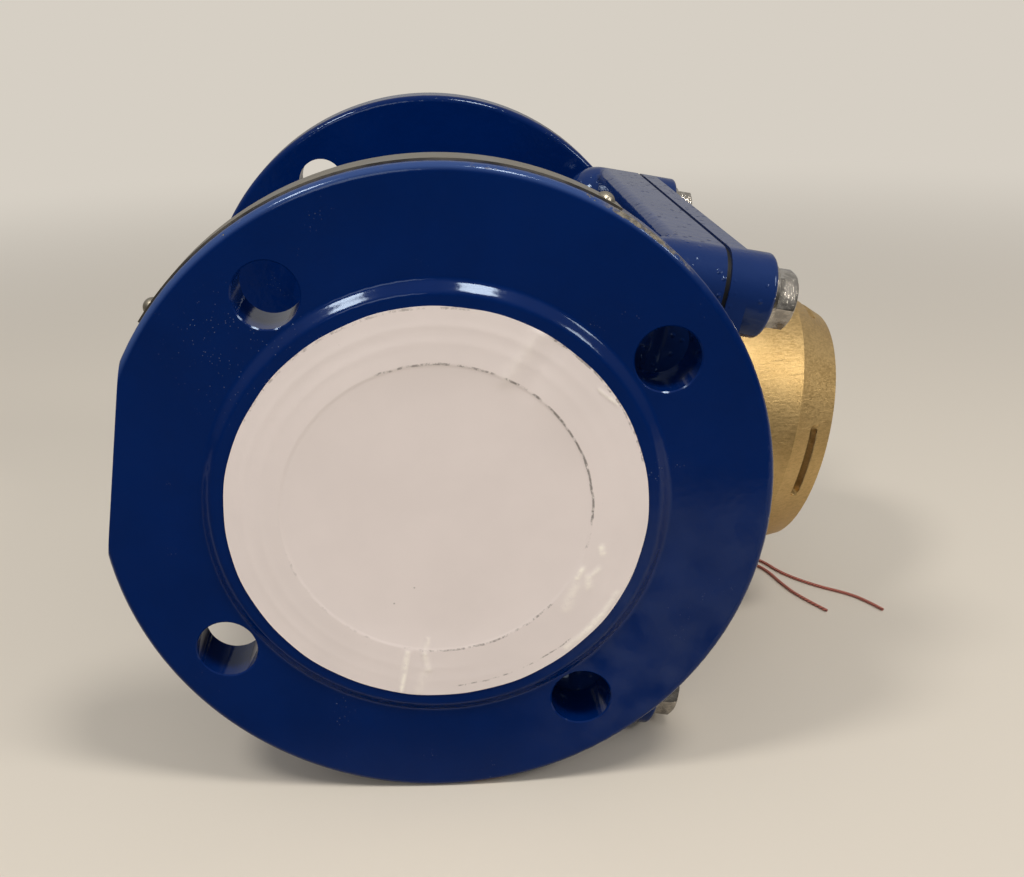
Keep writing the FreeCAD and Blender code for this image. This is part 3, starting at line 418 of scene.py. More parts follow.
# Film: radii of its lines of grime, and for each stretch of a line its first and last degree and its weight
CREASE_GLINT_MARK = "crease"
BORE_LINE = (46.0 * MM, 46.4 * MM)
RING_LINE = (59.0 * MM, 59.2 * MM)
RIM_LINE = (61.9 * MM, 62.4 * MM)
LINE_SOFT = 0.25 * MM
STRETCH_SOFT = 0.06
BORE_GRIME = ((69, 108, 0.6), (50, 63, 0.75), (-3, 44, 1.0), (-16, -3, 0.4), (-102, -42, 0.6),
              (-165, -115, 0.3))
RING_GRIME = ((-84, -48, 0.6),)
RIM_GRIME = ((80, 150, 0.45), (15, 58, 0.6), (-60, -20, 0.25))
GRIME_SHARE = 0.68


def grimy(look, place, low, high, stretches):
    """Line of grime between two radii, along stretches and more broken where they are fainter."""
    weight = 0.0
    for first, last, share in stretches:
        stretch = look.band(look.clock(), math.radians(first), math.radians(last), STRETCH_SOFT)
        weight = look.most(weight, look.times(stretch, share))
    patchy = look.plus(look.noise(380, 4, 0.75), look.times(weight, 0.2))
    line = look.times(look.band(place, low, high, LINE_SOFT), look.ease(patchy, 0.55, 0.72))
    return look.times(line, look.ease(weight, 0.0, 0.8))


def white_film():
    """Thin white film, soft gloss: grime at the bore, at a ring and at the rim, specks, and white creases
    that are painted highlights.
    """
    look = Finish("white_film", finish().film, 0.36)
    wobble = look.times(look.math("SUBTRACT", look.noise(140, 4, 0.65), 0.5), 1.2 * MM)
    place = look.plus(look.pipe_radius(), wobble)
    bore_line = grimy(look, place, *BORE_LINE, BORE_GRIME)
    ring_line = grimy(look, place, *RING_LINE, RING_GRIME)
    rim_line = grimy(look, place, *RIM_LINE, RIM_GRIME)
    specks = look.times(look.dots(190, 0.04, 0.075), look.ease(look.noise(33, 2), 0.58, 0.64))
    lines = look.most(bore_line, look.most(ring_line, rim_line))
    grime = look.times(look.most(lines, look.times(specks, 0.6)), GRIME_SHARE)
    crease = look.tree.nodes.new("ShaderNodeAttribute")
    crease.attribute_name = CREASE_GLINT_MARK
    broken = look.ease(look.noise(420, 4, 0.7), 0.3, 0.6, 0.25, 1.0)
    tone = look.clouded(look.noise(34, 3), 0.25, 0.75, finish().film, 0.95)
    # Painted highlight: the folds' mark, broken by noise, mixes the film towards the crease white
    tone = look.mix(look.times(crease.outputs["Fac"], broken), tone, finish().film_crease)
    look.set("Base Color", look.mix(grime, tone, finish().film_dirt))
    look.set("Roughness", look.ease(look.noise(45, 3), *NOISE_SPAN, 0.28, 0.42))
    look.set("Normal", look.bump(look.noise(150, 4), 0.12 * MM, 0.2))
    return look.material


BRASS_DULLING = (0.78, 0.74, 0.66)
BRASS_GRAIN_STRETCH = (0.6, 1.0, 1.6)
BRASS_SCRATCH_STRETCH = (0.4, 1.0, 14.0)
STRIP_MARK_STRETCH = (0.1, 3.0, 0.1)


def satin_brass():
    """Blasted brass: an uneven grain, slightly drawn out along the flow, and faint scratches."""
    look = Finish("satin_brass", finish().brass, 0.45, 1.0)
    dull = tuple(part * share for part, share in zip(finish().brass, BRASS_DULLING))
    grain = look.noise(900, 4, 0.7, look.stretched(BRASS_GRAIN_STRETCH))
    cloud = look.plus(look.times(grain, 0.65), look.times(look.noise(60, 4), 0.35))
    look.set("Base Color", look.mix(look.ease(cloud, 0.36, 0.62), dull, finish().brass))
    look.set("Roughness", look.ease(grain, *NOISE_SPAN, 0.38, 0.52))
    scratch = look.noise(150, 4, 0.7, look.stretched(BRASS_SCRATCH_STRETCH))
    fine = look.bump(look.ease(scratch, 0.6, 0.7), 0.06 * MM, 0.6)
    look.set("Normal", look.bump(grain, 0.2 * MM, 0.45, fine))
    return look.material


def zinc_plate():
    """Bright zinc on steel: nearly a mirror, with a fine ripple and duller spangles."""
    look = Finish("zinc_plate", finish().zinc, 0.14, 1.0)
    look.set("Base Color", look.clouded(look.noise(420, 4, 0.7), 0.4, 0.6, finish().zinc, 0.7))
    look.set("Roughness", look.ease(look.noise(500, 3, 0.65), *NOISE_SPAN, 0.08, 0.2))
    look.set("Normal", look.bump(look.noise(1000, 3), 0.22 * MM, 0.6))
    return look.material


def rolled_strip():
    """Dull rolled sheet with lengthwise marks."""
    look = Finish("rolled_strip", finish().strip, 0.38, 1.0)
    marks = look.noise(900, 3, 0.6, look.stretched(STRIP_MARK_STRETCH))
    look.set("Base Color", look.clouded(marks, *NOISE_SPAN, finish().strip, 0.7))
    look.set("Roughness", look.ease(look.noise(90, 4), *NOISE_SPAN, 0.28, 0.5))
    look.set("Normal", look.bump(marks, 0.05 * MM, 0.4))
    return look.material


def moulded(name, base, roughness):
    """Moulded plastic with a fine spark-eroded grain and slight unevenness."""
    look = Finish(name, base, roughness)
    look.set("Base Color", look.clouded(look.noise(60, 3), *NOISE_SPAN, base, 0.85))
    roughest = min(1.0, 1.15 * roughness)
    look.set("Roughness", look.ease(look.noise(140, 3), *NOISE_SPAN, 0.9 * roughness, roughest))
    look.set("Normal", look.bump(look.noise(1400, 2), 0.05 * MM, 0.4))
    return look.material


def ground_steel():
    """Stainless steel ground round its axis."""
    look = Finish("ground_steel", finish().steel, 0.28, 1.0)
    look.set("Roughness", look.ease(look.noise(900, 3), *NOISE_SPAN, 0.2, 0.36))
    look.set("Normal", look.bump(look.noise(1800, 2), 0.04 * MM, 0.4))
    return look.material


def dial_enamel():
    """White dial enamel with a faint unevenness."""
    look = Finish("dial_enamel", finish().dial, 0.32)
    uneven = look.ease(look.noise(40, 3), *NOISE_SPAN)
    look.set("Base Color", look.mix(uneven, finish().dial_shade, finish().dial))
    look.set("Roughness", look.ease(look.noise(300, 3), *NOISE_SPAN, 0.26, 0.4))
    return look.material


def clear_glass():
    """Thick window glass with a trace of dust."""
    look = Finish("clear_glass", finish().glass, 0.02)
    look.set("Roughness", look.ease(look.noise(120, 5, 0.7), 0.5, 0.8, 0.02, 0.1))
    look.set("Transmission Weight", 1.0).set("IOR", 1.5)
    return look.material


# Phase of the thread's strands over its whole length and once round it, in radians
STRAND_LENGTHWISE = 900.0
STRAND_ROUND = 12.566


def red_thread():
    """Twisted thread: slanting strands on the curve's own map, with painted shade darkening the grooves
    between them.
    """
    look = Finish("red_thread", finish().thread, 0.8)
    along, around, _ = look.parts(look.tree.nodes.new("ShaderNodeTexCoord").outputs["UV"])
    phase = look.plus(look.times(along, STRAND_LENGTHWISE), look.times(around, STRAND_ROUND))
    height = look.ease(look.math("SINE", phase), -1.0, 1.0)
    # Painted shade: the colour darkens where the strands' height is low, in the grooves between them
    look.set("Base Color", look.clouded(height, 0.1, 0.7, finish().thread, 0.45))
    look.set("Normal", look.bump(height, 0.3 * MM, 0.8))
    return look.material


# Meshes: the distances at which corners merge, and angles in degrees
DOUBLES_WITHIN = 2e-6
SLIVERS_WITHIN = 1e-6
FLAT_DEGREES = 0.1
SMOOTH_DEGREES = 30
FILM_SMOOTH_DEGREES = 40
FLATS_WEIGHT = 75


def tidy_mesh(mesh, smooth_degrees, flat_degrees=None):
    """Merge doubles, join triangles that lie flat, face outwards and shade smooth up to an angle."""
    edit = bmesh.new()
    edit.from_mesh(mesh)
    bmesh.ops.remove_doubles(edit, verts=edit.verts, dist=DOUBLES_WITHIN)
    bmesh.ops.dissolve_degenerate(edit, edges=edit.edges, dist=SLIVERS_WITHIN)
    if flat_degrees is not None:
        bmesh.ops.dissolve_limit(edit, angle_limit=math.radians(flat_degrees),
                                 verts=edit.verts, edges=edit.edges)
    bmesh.ops.recalc_face_normals(edit, faces=edit.faces)
    edit.to_mesh(mesh)
    edit.free()
    mesh.shade_smooth()
    mesh.set_sharp_from_angle(angle=math.radians(smooth_degrees))


def place_piece(name, data, material, slot, body, *nodes):
    """Link a piece, dress it, ride it on its body and let it stand for its CAD nodes."""
    piece = bpy.data.objects.new(name, data)
    bpy.context.scene.collection.objects.link(piece)
    data.materials.clear()
    data.materials.append(material)
    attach(piece, body)
    if nodes:
        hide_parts(*nodes)
    return piece


def refine_node(node, material, slot, body="housing"):
    """A smooth-shaded copy of a CAD node: the same surface, with its corners and flats merged."""
    mesh = frame["nodes"][node].data.copy()
    tidy_mesh(mesh, SMOOTH_DEGREES, FLAT_DEGREES)
    piece = place_piece(node + "_fine", mesh, material, slot, body, node)
    flats_first = piece.modifiers.new("flats_first", "WEIGHTED_NORMAL")
    flats_first.keep_sharp = True
    flats_first.weight = FLATS_WEIGHT


def dress_node(node, material):
    """Give a carried-over CAD node its finish."""
    mesh = frame["nodes"][node].data
    mesh.materials.clear()
    mesh.materials.append(material)


class METER_OT_castings(bpy.types.Operator):
    """Body and cover in blue enamel, with the gasket between them"""

    bl_idname = "meter.castings"
    bl_label = "Castings"

    def execute(self, context):
        """Refine both castings in one enamel and dress the gasket."""
        enamel = blue_enamel()
        for node in ("meter_body", "head_cover"):
            refine_node(node, enamel, "blue_paint")
        dress_node("cover_gasket", moulded("gasket_rubber", finish().rubber, 0.6))
        return {"FINISHED"}


FILM_LOW, FILM_HIGH = node_reach("inlet_film")
FILM_RAY_COUNT = 360
FILM_RING_COUNT = 150
FILM_BACK_STEP = 10

# Film in millimetres: each rim wave's size, count and phase, and each ring's radius, spread and rise
FILM_RIM_INSET = 0.25
FILM_RIM_WAVES = ((0.12, 3, 1.0), (0.08, 11, 0.0), (0.05, 23, 2.0))
FILM_RIM_HOLD = 0.6
FILM_WALL = 0.12
BORE_EDGE = 46.2
SAG_FADE = 7.0
LIP_DEPTH = 0.12
LIP_WIDTH = 0.7
FILM_RINGS = ((52.4, 1.3, 0.09), (57.2, 1.2, 0.10))

# How unevenly the rings stand: their mean share, a lean towards one angle and a ripple round them
RING_MEAN = 0.65
RING_LEAN = 0.35
RING_LEAN_TURN = 2.4
RING_RIPPLE = 0.15
RING_RIPPLE_COUNT = 5

# Folds of the film: radius and degree of both ends, spread in millimetres, rise in creases, and whitening,
# which is a painted highlight; the last eight are glints and a highlight strip along the rim
FILM_FOLDS_AND_GLINTS = (
    (46, 63, 61, 61, 2.2, 1.0, 0.15),
    (46, 54, 60, 55, 3.0, -0.8, 0.0),
    (59.8, 38, 61.6, 32, 0.35, 0.8, 0.9),
    (47.5, -102.5, 62.5, -102, 0.6, 1.0, 1.0),
    (42, -95, 47.5, -96, 0.4, 0.7, 0.6),
    (47.5, -96, 53, -94.5, 0.7, 0.7, 0.6),
    (53, -95, 62, -97, 1.4, 0.5, 0.25),
    (50.5, -14, 51.5, -16, 0.8, 0.5, 1.0),
    (52, -22, 51, -25, 0.8, 0.4, 0.6),
    (47.5, -24, 47.5, -28, 0.8, 0.6, 0.9),
    (50.5, -26, 52, -29, 1.0, 0.5, 0.7),
    (48.5, -31, 50.5, -40, 1.5, 0.5, 0.4),
    (60.6, -50, 60.9, -43, 0.8, 0.3, 0.6),
    (60.9, -43, 60.9, -35, 0.9, 0.3, 0.8),
    (60.9, -35, 60.8, -27, 0.7, 0.3, 0.5),
)


def swell(value, low, high):
    """Smooth rise from 0 at one value to 1 at another."""
    share = np.clip((value - low) / (high - low), 0, 1)
    return share * share * (3 - 2 * share)


def beside(across, up, first_radius, first_degrees, last_radius, last_degrees):
    """Distance of points from a straight fold between two places given by radius and clock angle."""
    angles = np.radians([first_degrees, last_degrees])
    outward = np.column_stack([np.cos(angles), np.sin(angles)])
    start, end = np.array([first_radius, last_radius])[:, None] * outward
    run = end - start
    share = np.clip(((across - start[0]) * run[0] + (up - start[1]) * run[1]) / (run @ run), 0, 1)
    return np.hypot(across - start[0] - share * run[0], up - start[1] - share * run[1])


def film_relief(radius, turn, across, up):
    """Height of the film's front in millimetres, and the whitening of its folds, which is a painted
    highlight.

    The height falls into the bore by a sag that deepens exponentially from its edge, and by a small lip
    there. A low, uneven ridge for each ring of the joint face is added, and a ridge of bell-shaped section
    along each fold.
    """
    inside = np.clip(BORE_EDGE - radius, 0, None)
    sag = sizes().film_sink / MM * (1 - np.exp(-inside / SAG_FADE))
    height = -sag - LIP_DEPTH * swell(inside, 0.0, LIP_WIDTH)
    for place, spread, rise in FILM_RINGS:
        ripple = RING_RIPPLE * np.cos(RING_RIPPLE_COUNT * turn + place)
        uneven = RING_MEAN + RING_LEAN * np.cos(turn - RING_LEAN_TURN) + ripple
        height = height + rise * uneven * np.exp(-((radius - place) / spread) ** 2)
    white = np.zeros_like(height)
    for *ends, spread, rise, whitening in FILM_FOLDS_AND_GLINTS:
        bell = np.exp(-(beside(across, up, *ends) / spread) ** 2)
        height = height + rise * sizes().film_crease / MM * bell
        white = np.maximum(white, whitening * bell)
    return height, white


def film_mesh(name, points, marks):
    """Mesh of rings of points, each closed on itself, with a mark kept on each point."""
    rings, rays = points.shape[:2]
    index = np.arange(rings * rays).reshape(rings, rays)
    index = np.hstack([index, index[:, :1]])
    quads = np.stack([index[:-1, :-1], index[1:, :-1], index[1:, 1:], index[:-1, 1:]], -1)
    mesh = bpy.data.meshes.new(name)
    mesh.from_pydata(points.reshape(-1, 3), [], quads.reshape(-1, 4).tolist())
    mesh.attributes.new(CREASE_GLINT_MARK, "FLOAT", "POINT").data.foreach_set("value", marks.ravel())
    tidy_mesh(mesh, FILM_SMOOTH_DEGREES)
    return mesh


class METER_OT_film(bpy.types.Operator):
    """Protective film over the inlet, printed through by the bore's edge and creased"""

    bl_idname = "meter.film"
    bl_label = "Inlet film"

    def execute(self, context):
        """Front and back disc of rings and rays, joined at a rim that is a circle plus a few cosine waves.

        The front's height dies away towards the rim. The back lies on the joint face, or a thin wall behind
        the front where that sags past the face.
        """
        turn = np.linspace(0, FULL_TURN, FILM_RAY_COUNT, endpoint=False)[None, :]
        waves = sum(size * np.cos(count * turn + phase) for size, count, phase in FILM_RIM_WAVES)
        rim = FILM_HIGH[0] / MM - FILM_RIM_INSET + waves
        radius = np.linspace(0, 1, FILM_RING_COUNT)[:, None] * rim
        across = radius * np.cos(turn)
        up = radius * np.sin(turn)
        height, white = film_relief(radius, turn, across, up)
        front = FILM_LOW[1] / MM - height * (1 - swell(radius, rim - FILM_RIM_HOLD, rim))
        inwards = slice(None, None, -FILM_BACK_STEP)
        back = np.maximum(front[inwards] + FILM_WALL, FILM_HIGH[1] / MM)
        grid = [np.vstack(pair) for pair in ((across, across[inwards]), (front, back), (up, up[inwards]))]
        marks = np.vstack([white, np.zeros_like(back)])
        mesh = film_mesh("inlet_film_sheet", np.stack(grid, -1) * MM, marks)
        place_piece("inlet_film_sheet", mesh, white_film(), "white_film", "housing", "inlet_film")
        return {"FINISHED"}


class METER_OT_ring(bpy.types.Operator):
    """Brass ring with spanner slots in its bevel"""

    bl_idname = "meter.ring"
    bl_label = "Register ring"

    def execute(self, context):
        """Refine the ring in brass."""
        refine_node("head_ring", satin_brass(), "satin_brass")
        return {"FINISHED"}


class METER_OT_fasteners(bpy.types.Operator):
    """Zinc-plated bolts and washers, rivets and the strip round the rim"""

    bl_idname = "meter.fasteners"
    bl_label = "Fasteners and strip"

    def execute(self, context):
        """Refine the plated pieces in zinc, and the strip with its rivets in rolled sheet."""
        zinc = zinc_plate()
        for node in ("cover_bolts", "bolt_washers"):
            refine_node(node, zinc, "zinc_steel")
        strip = rolled_strip()
        for node in ("rating_plate", "plate_rivets"):
            refine_node(node, strip, "bare_alloy")
        return {"FINISHED"}


class METER_OT_insert(bpy.types.Operator):
    """Measuring insert: frame, vanes, turbine, worm drive and bearings"""

    bl_idname = "meter.insert"
    bl_label = "Measuring insert"

    def execute(self, context):
        """Refine what the bores show and dress the rest."""
        grey = moulded("grey_moulding", finish().grey, 0.45)
        ivory = moulded("ivory_moulding", finish().ivory, 0.4)
        black = moulded("black_moulding", finish().bearing, 0.45)
        steel = ground_steel()
        for node in ("insert_frame", "flow_straightener", "outlet_spider"):
            refine_node(node, grey, "grey_plastic")
        for node in ("turbine_rotor", "drive_worm"):
            refine_node(node, ivory, "ivory_plastic", "turbine")
        refine_node("worm_wheel", ivory, "ivory_plastic", "transmission")
        for node in ("front_bearing", "rear_bearing", "shaft_bush"):
            dress_node(node, black)
        for node in ("insert_screws", "rotor_shaft", "transmission_shaft"):
            dress_node(node, steel)
        dress_node("drive_magnet", moulded("ferrite", finish().ferrite, 0.55))
        return {"FINISHED"}


# Register: each row of ticks has its count, inner and outer radius and width in millimetres
FIGURE_COUNT = 10
NUMERAL_CAP = 0.72
NUMERAL_ROUNDING = 3
NUMERAL_CUTS = 3
DRUM_COUNT = 5
DRUM_GAP = 0.4 * MM
DRUM_NUMERAL_SHARE = 0.48
PRINT_LIFT = 0.03 * MM
SCALE_TICKS = ((10, 7.9, 9.4, 0.36), (50, 8.6, 9.4, 0.18))
SCALE_NUMERAL_RADIUS = 6.6 * MM
SCALE_NUMERAL_HEIGHT = 2.1 * MM
WINDOW_MARGIN = 0.5 * MM
WINDOW_LINE = 0.35 * MM


def numeral(figure, height):
    """Corners and triangles of a figure centred on the origin, finely divided so that it can be bent."""
    curve = bpy.data.curves.new("numeral", "FONT")
    curve.body = str(figure)
    curve.size = height / NUMERAL_CAP
    curve.align_x = "CENTER"
    curve.align_y = "CENTER"
    curve.resolution_u = NUMERAL_ROUNDING
    holder = bpy.data.objects.new("numeral", curve)
    mesh = bpy.data.meshes.new_from_object(holder)
    edit = bmesh.new()
    edit.from_mesh(mesh)
    bmesh.ops.triangulate(edit, faces=edit.faces)
    bmesh.ops.subdivide_edges(edit, edges=edit.edges, cuts=NUMERAL_CUTS, use_grid_fill=True)
    bmesh.ops.triangulate(edit, faces=edit.faces)
    edit.to_mesh(mesh)
    edit.free()
    corners = np.empty(len(mesh.vertices) * 3)
    mesh.vertices.foreach_get("co", corners)
    mesh.calc_loop_triangles()
    triangles = np.empty(len(mesh.loop_triangles) * 3, dtype=int)
    mesh.loop_triangles.foreach_get("vertices", triangles)
    bpy.data.objects.remove(holder)
    bpy.data.curves.remove(curve)
    bpy.data.meshes.remove(mesh)
    corners = corners.reshape(-1, 3)[:, :2]
    corners = corners - (corners.min(0) + corners.max(0)) / 2
    return corners, triangles.reshape(-1, 3)


def bar(centre, along, half_length, half_width, level):
    """Flat bar: its middle, its direction, and half its length and width, on a level plane."""
    along = np.asarray(along)
    across = np.array([-along[1], along[0]])
    ends = np.array([(-1, -1), (1, -1), (1, 1), (-1, 1)])
    flat = centre + ends[:, :1] * half_length * along + ends[:, 1:] * half_width * across
    return np.column_stack([flat, np.full(4, level)]), np.array([[0, 1, 2, 3]])


def print_mesh(name, patches):
    """One mesh from patches of upright corners and faces, turned into the frame that the meter lies in."""
    corners = []
    faces = []
    count = 0
    for points, polygons in patches:
        corners.append(points)
        faces.extend((polygons + count).tolist())
        count += len(points)
    mesh = bpy.data.meshes.new(name)
    mesh.from_pydata(np.vstack(corners) @ UPRIGHT.T, [], faces)
    return mesh


def drum_row():
    """Lowest and highest corner of the slow drums, and the pitch from drum to drum."""
    low, high = node_reach("number_drums")
    return low, high, (high[0] - low[0] + DRUM_GAP) / (DRUM_COUNT - 1)


def print_drums():
    """Figures 0 to 9 round every drum.

    A figure's flat corner (u, v) goes to the drum's surface at x + u, axis y + R sin(a), axis z + R cos(a),
    where a = v / R plus a tenth of a turn for each figure, so that the next follows as the drum turns.
    """
    low, high, pitch = drum_row()
    radius = (high[2] - low[2]) / 2
    reach = radius + PRINT_LIFT
    middle = (low + high) / 2
    flat = [numeral(figure, DRUM_NUMERAL_SHARE * radius) for figure in range(FIGURE_COUNT)]
    rows = []
    for drum in range(DRUM_COUNT):
        x = low[0] + drum * pitch + (pitch - DRUM_GAP) / 2
        patches = []
        for figure, (corners, triangles) in enumerate(flat):
            angle = corners[:, 1] / radius + FULL_TURN * figure / FIGURE_COUNT
            bent = np.column_stack([x + corners[:, 0], middle[1] + reach * np.sin(angle),
                                    middle[2] + reach * np.cos(angle)])
            patches.append((bent, triangles))
        rows.append(patches)
    white = moulded("figure_white", finish().figure, 0.5)
    slow = print_mesh("drum_figures", sum(rows[:-1], []))
    place_piece("drum_figures", slow, white, "white_enamel", "housing")
    fast = print_mesh("first_drum_figures", rows[-1])
    place_piece("first_drum_figures", fast, white, "white_enamel", "fast_drum")


def window_lines(level):
    """Four bars round the drums' window."""
    low, high, pitch = drum_row()
    width = DRUM_COUNT * pitch
    centre = np.array([low[0] + width / 2 - DRUM_GAP / 2, (low[1] + high[1]) / 2])
    half = np.array([width / 2, (high[1] - low[1]) / 4]) + WINDOW_MARGIN
    lines = []
    for side in (-1, 1):
        upright = centre + side * np.array([half[0], 0])
        level_line = centre + side * np.array([0, half[1]])
        lines.append(bar(upright, (0, 1), half[1], WINDOW_LINE / 2, level))
        lines.append(bar(level_line, (1, 0), half[0], WINDOW_LINE / 2, level))
    return lines


def print_dial():
    """Ticks and figures round the pointer, clockwise from the top, and a line round the drums' window."""
    level = node_reach("dial_plate")[1][2] + PRINT_LIFT
    axis = (np.array(JOINTS["litre_hand_spin"]["pos_m"]) @ UPRIGHT)[:2]
    patches = []
    for count, inner, outer, width in SCALE_TICKS:
        for turn in np.arange(count) * FULL_TURN / count:
            outward = np.array([math.sin(turn), math.cos(turn)])
            middle = axis + outward * (inner + outer) / 2 * MM
            patches.append(bar(middle, outward, (outer - inner) / 2 * MM, width / 2 * MM, level))
    for figure in range(FIGURE_COUNT):
        turn = FULL_TURN * figure / FIGURE_COUNT
        corners, triangles = numeral(figure, SCALE_NUMERAL_HEIGHT)
        place = axis + SCALE_NUMERAL_RADIUS * np.array([math.sin(turn), math.cos(turn)])
        patches.append((np.column_stack([corners + place, np.full(len(corners), level)]), triangles))
    patches.extend(window_lines(level))
    ink = moulded("dial_ink", finish().ink, 0.5)
    place_piece("dial_print", print_mesh("dial_print", patches), ink, "black_plastic", "housing")


class METER_OT_register(bpy.types.Operator):
    """Register under the glass: can, dial, drums, pointer and star"""

    bl_idname = "meter.register"
    bl_label = "Register"

    def execute(self, context):
        """Dress the register's pieces, refine its glass and print drums and dial."""
        black = moulded("drum_black", finish().drum, 0.4)
        red = moulded("signal_red", finish().signal, 0.25)
        brass = moulded("movement_brass", finish().movement, 0.35)
        dress_node("register_can", rolled_strip())
        dress_node("dial_plate", dial_enamel())
        for node in ("number_drums", "first_drum", "slip_ring"):
            dress_node(node, black)
        for node in ("flow_star", "litre_pointer"):
            dress_node(node, red)
        for node in ("movement_plate", "follower_arbor"):
            dress_node(node, brass)
        dress_node("pointer_wheel", moulded("wheel_ivory", finish().ivory, 0.4))
        dress_node("drum_axle", ground_steel())
        dress_node("follower_magnet", moulded("ferrite_dry", finish().ferrite, 0.55))
        dress_node("glass_gasket", moulded("glass_rubber", finish().glass_rubber, 0.7))
        refine_node("register_glass", clear_glass(), "clear_glass")
        print_drums()
        print_dial()
        return {"FINISHED"}


# Thread in millimetres: each tail's way out from its start at the lug, then its way along the bench
THREAD_START = np.array([73.369, 143.0, -82.957])
THREAD_BENCH = -99.3
THREAD_A_OUT = [(0, 0, 0), (0, 5, 0), (2.2, 10.5, -2.2), (8, 17, -7), (18, 22.5, -12.2)]
THREAD_A_BENCH = [(106, 169), (122.5, 169.8), (137, 164.5), (146.8, 153.5), (151.5, 141.5), (162.5, 129),
                  (174.6, 120.6), (180.2, 113), (183.6, 106.2)]
THREAD_B_OUT = [(0, 0, 0), (0, -5, 0), (3, -9.5, -2.6), (10, -11.8, -7.4), (19.5, -8.5, -12.4)]
THREAD_B_BENCH = [(106, 139), (120, 148.5), (132.5, 154.3), (141.6, 152.4), (146.2, 144.2), (148.8, 132.5),
                  (152.8, 120), (160.7, 107)]

# Length of each tail in metres, and how finely its curve is drawn along and round
THREAD_A_LENGTH = 0.1561
THREAD_B_LENGTH = 0.1335
THREAD_ORDER = 3
THREAD_STEPS = 12
THREAD_SIDES = 4


def thread_curve(name, route):
    """Round curve of the thread's thickness that is drawn along a route by its control points."""
    curve = bpy.data.curves.new(name, "CURVE")
    curve.dimensions = "3D"
    spline = curve.splines.new("NURBS")
    spline.points.add(len(route) - 1)
    spline.points.foreach_set("co", np.column_stack([route, np.ones(len(route))]).ravel())
    spline.order_u = THREAD_ORDER
    spline.use_endpoint_u = True
    spline.resolution_u = THREAD_STEPS
    curve.bevel_depth = sizes().thread_diameter / 2
    curve.bevel_resolution = THREAD_SIDES
    curve.use_fill_caps = True
    return curve


class METER_OT_thread(bpy.types.Operator):
    """Two tails of red sealing thread from the cover's lug to the bench"""

    bl_idname = "meter.thread"
    bl_label = "Sealing thread"

    def execute(self, context):
        """Lay both tails."""
        material = red_thread()
        for name, out, bench, run in (
                ("seal_thread_a", THREAD_A_OUT, THREAD_A_BENCH, THREAD_A_LENGTH),
                ("seal_thread_b", THREAD_B_OUT, THREAD_B_BENCH, THREAD_B_LENGTH)):
            in_air = THREAD_START + np.array(out)
            on_bench = np.array([(x, y, THREAD_BENCH) for x, y in bench])
            route = np.vstack([in_air, on_bench]) * MM
            curve = thread_curve(name + "_curve", route)
            piece = place_piece(name + "_tail", curve, material, "red_thread", "housing", name)
        return {"FINISHED"}


# Camera in metres, with its principal point in image pixels
IMAGE_WIDTH = 1024
IMAGE_HEIGHT = 877
CAMERA_PLACE = (-0.00005, -0.31183, 0.14128)
CAMERA_RIGHT = (0.9994, -0.0070, -0.0353)
CAMERA_FORWARD = (-0.0079, 0.9090, -0.4176)
CAMERA_NEAR = 0.01
PRINCIPAL_POINT = (426.69, 518.81)
SENSOR_WIDTH = 36.0

# Floor in metres: where it fades out, and how bright reflections find it in front, behind and at the glint
FLOOR_REACH = 40.0
FLOOR_FADE = (0.45, 1.5)
MIRRORED_FRONT = 0.14
MIRRORED_BEHIND = 0.8
MIRRORED_GLINT = 1.5
MIRROR_DEPTH = (-0.045, 0.03)
GLINT_SIDE = (0.01, 0.09)
GLINT_DEPTH = (-0.2, -0.03)
GLINT_DEPTH_SOFT = 0.05

# Light: reflections find the world's brightness by how far they look along GLOSS_FROM
WORLD_LIGHT = 0.41
LIGHT_TINT = (1.0, 0.985, 0.97)
GLOSS_FROM = (0.0, 0.5, 1.0)
GLOSS_RANGE = (-0.1, 0.7, 0.10, 0.43)
LAMP_PLACES = ((-0.57, -0.36, 1.10), (0.35, -0.34, 1.17), (1.0, -0.42, 0.72), (-0.30, -1.30, 0.75))
LAMP_POWERS = (5.6, 5.6, 3.0, 2.5)
LAMP_DIAMETERS = (0.28, 0.28, 0.28, 0.6)
LAMP_AIM = Vector((0.03, 0.1, 0.0))


def floor_finish():
    """Pale matt floor that fades into the backdrop, mirrored darker in front but for a broken glint."""
    pale = finish().floor
    look = Finish("stage_floor", pale, 0.6)
    look.set("Specular IOR Level", 0.1)
    x, y, _ = look.parts()
    reflected, seen = look.rays()
    glint = look.times(look.ease(x, *GLINT_SIDE), look.band(y, *GLINT_DEPTH, GLINT_DEPTH_SOFT))
    glint = look.times(glint, look.ease(look.noise(70, 4, 0.7), 0.32, 0.68))
    front = look.mix(glint, dimmed(pale, MIRRORED_FRONT), dimmed(pale, MIRRORED_GLINT))
    mirrored = look.mix(look.ease(y, *MIRROR_DEPTH), front, dimmed(pale, MIRRORED_BEHIND))
    look.set("Base Color", look.mix(reflected, pale, mirrored))
    glow = look.tree.nodes.new("ShaderNodeEmission")
    look.feed(glow.inputs["Color"], pale)
    blend = look.tree.nodes.new("ShaderNodeMixShader")
    look.feed(blend.inputs["Fac"], look.times(seen, look.ease(look.span(x, y), *FLOOR_FADE)))
    look.feed(blend.inputs[1], look.shader.outputs[0])
    look.feed(blend.inputs[2], glow.outputs[0])
    look.feed(look.tree.nodes["Material Output"].inputs["Surface"], blend.outputs[0])
    return look.material


def lay_floor():
    """A wide plane at the level that the meter lies on."""
    mesh = bpy.data.meshes.new("stage_floor")
    signs = ((-1, -1), (1, -1), (1, 1), (-1, 1))
    corners = [(x * FLOOR_REACH, y * FLOOR_REACH, FLOOR_LEVEL) for x, y in signs]
    mesh.from_pydata(corners, [], [(0, 1, 2, 3)])
    mesh.materials.append(floor_finish())
    floor = bpy.data.objects.new("stage_floor", mesh)
    bpy.context.scene.collection.objects.link(floor)


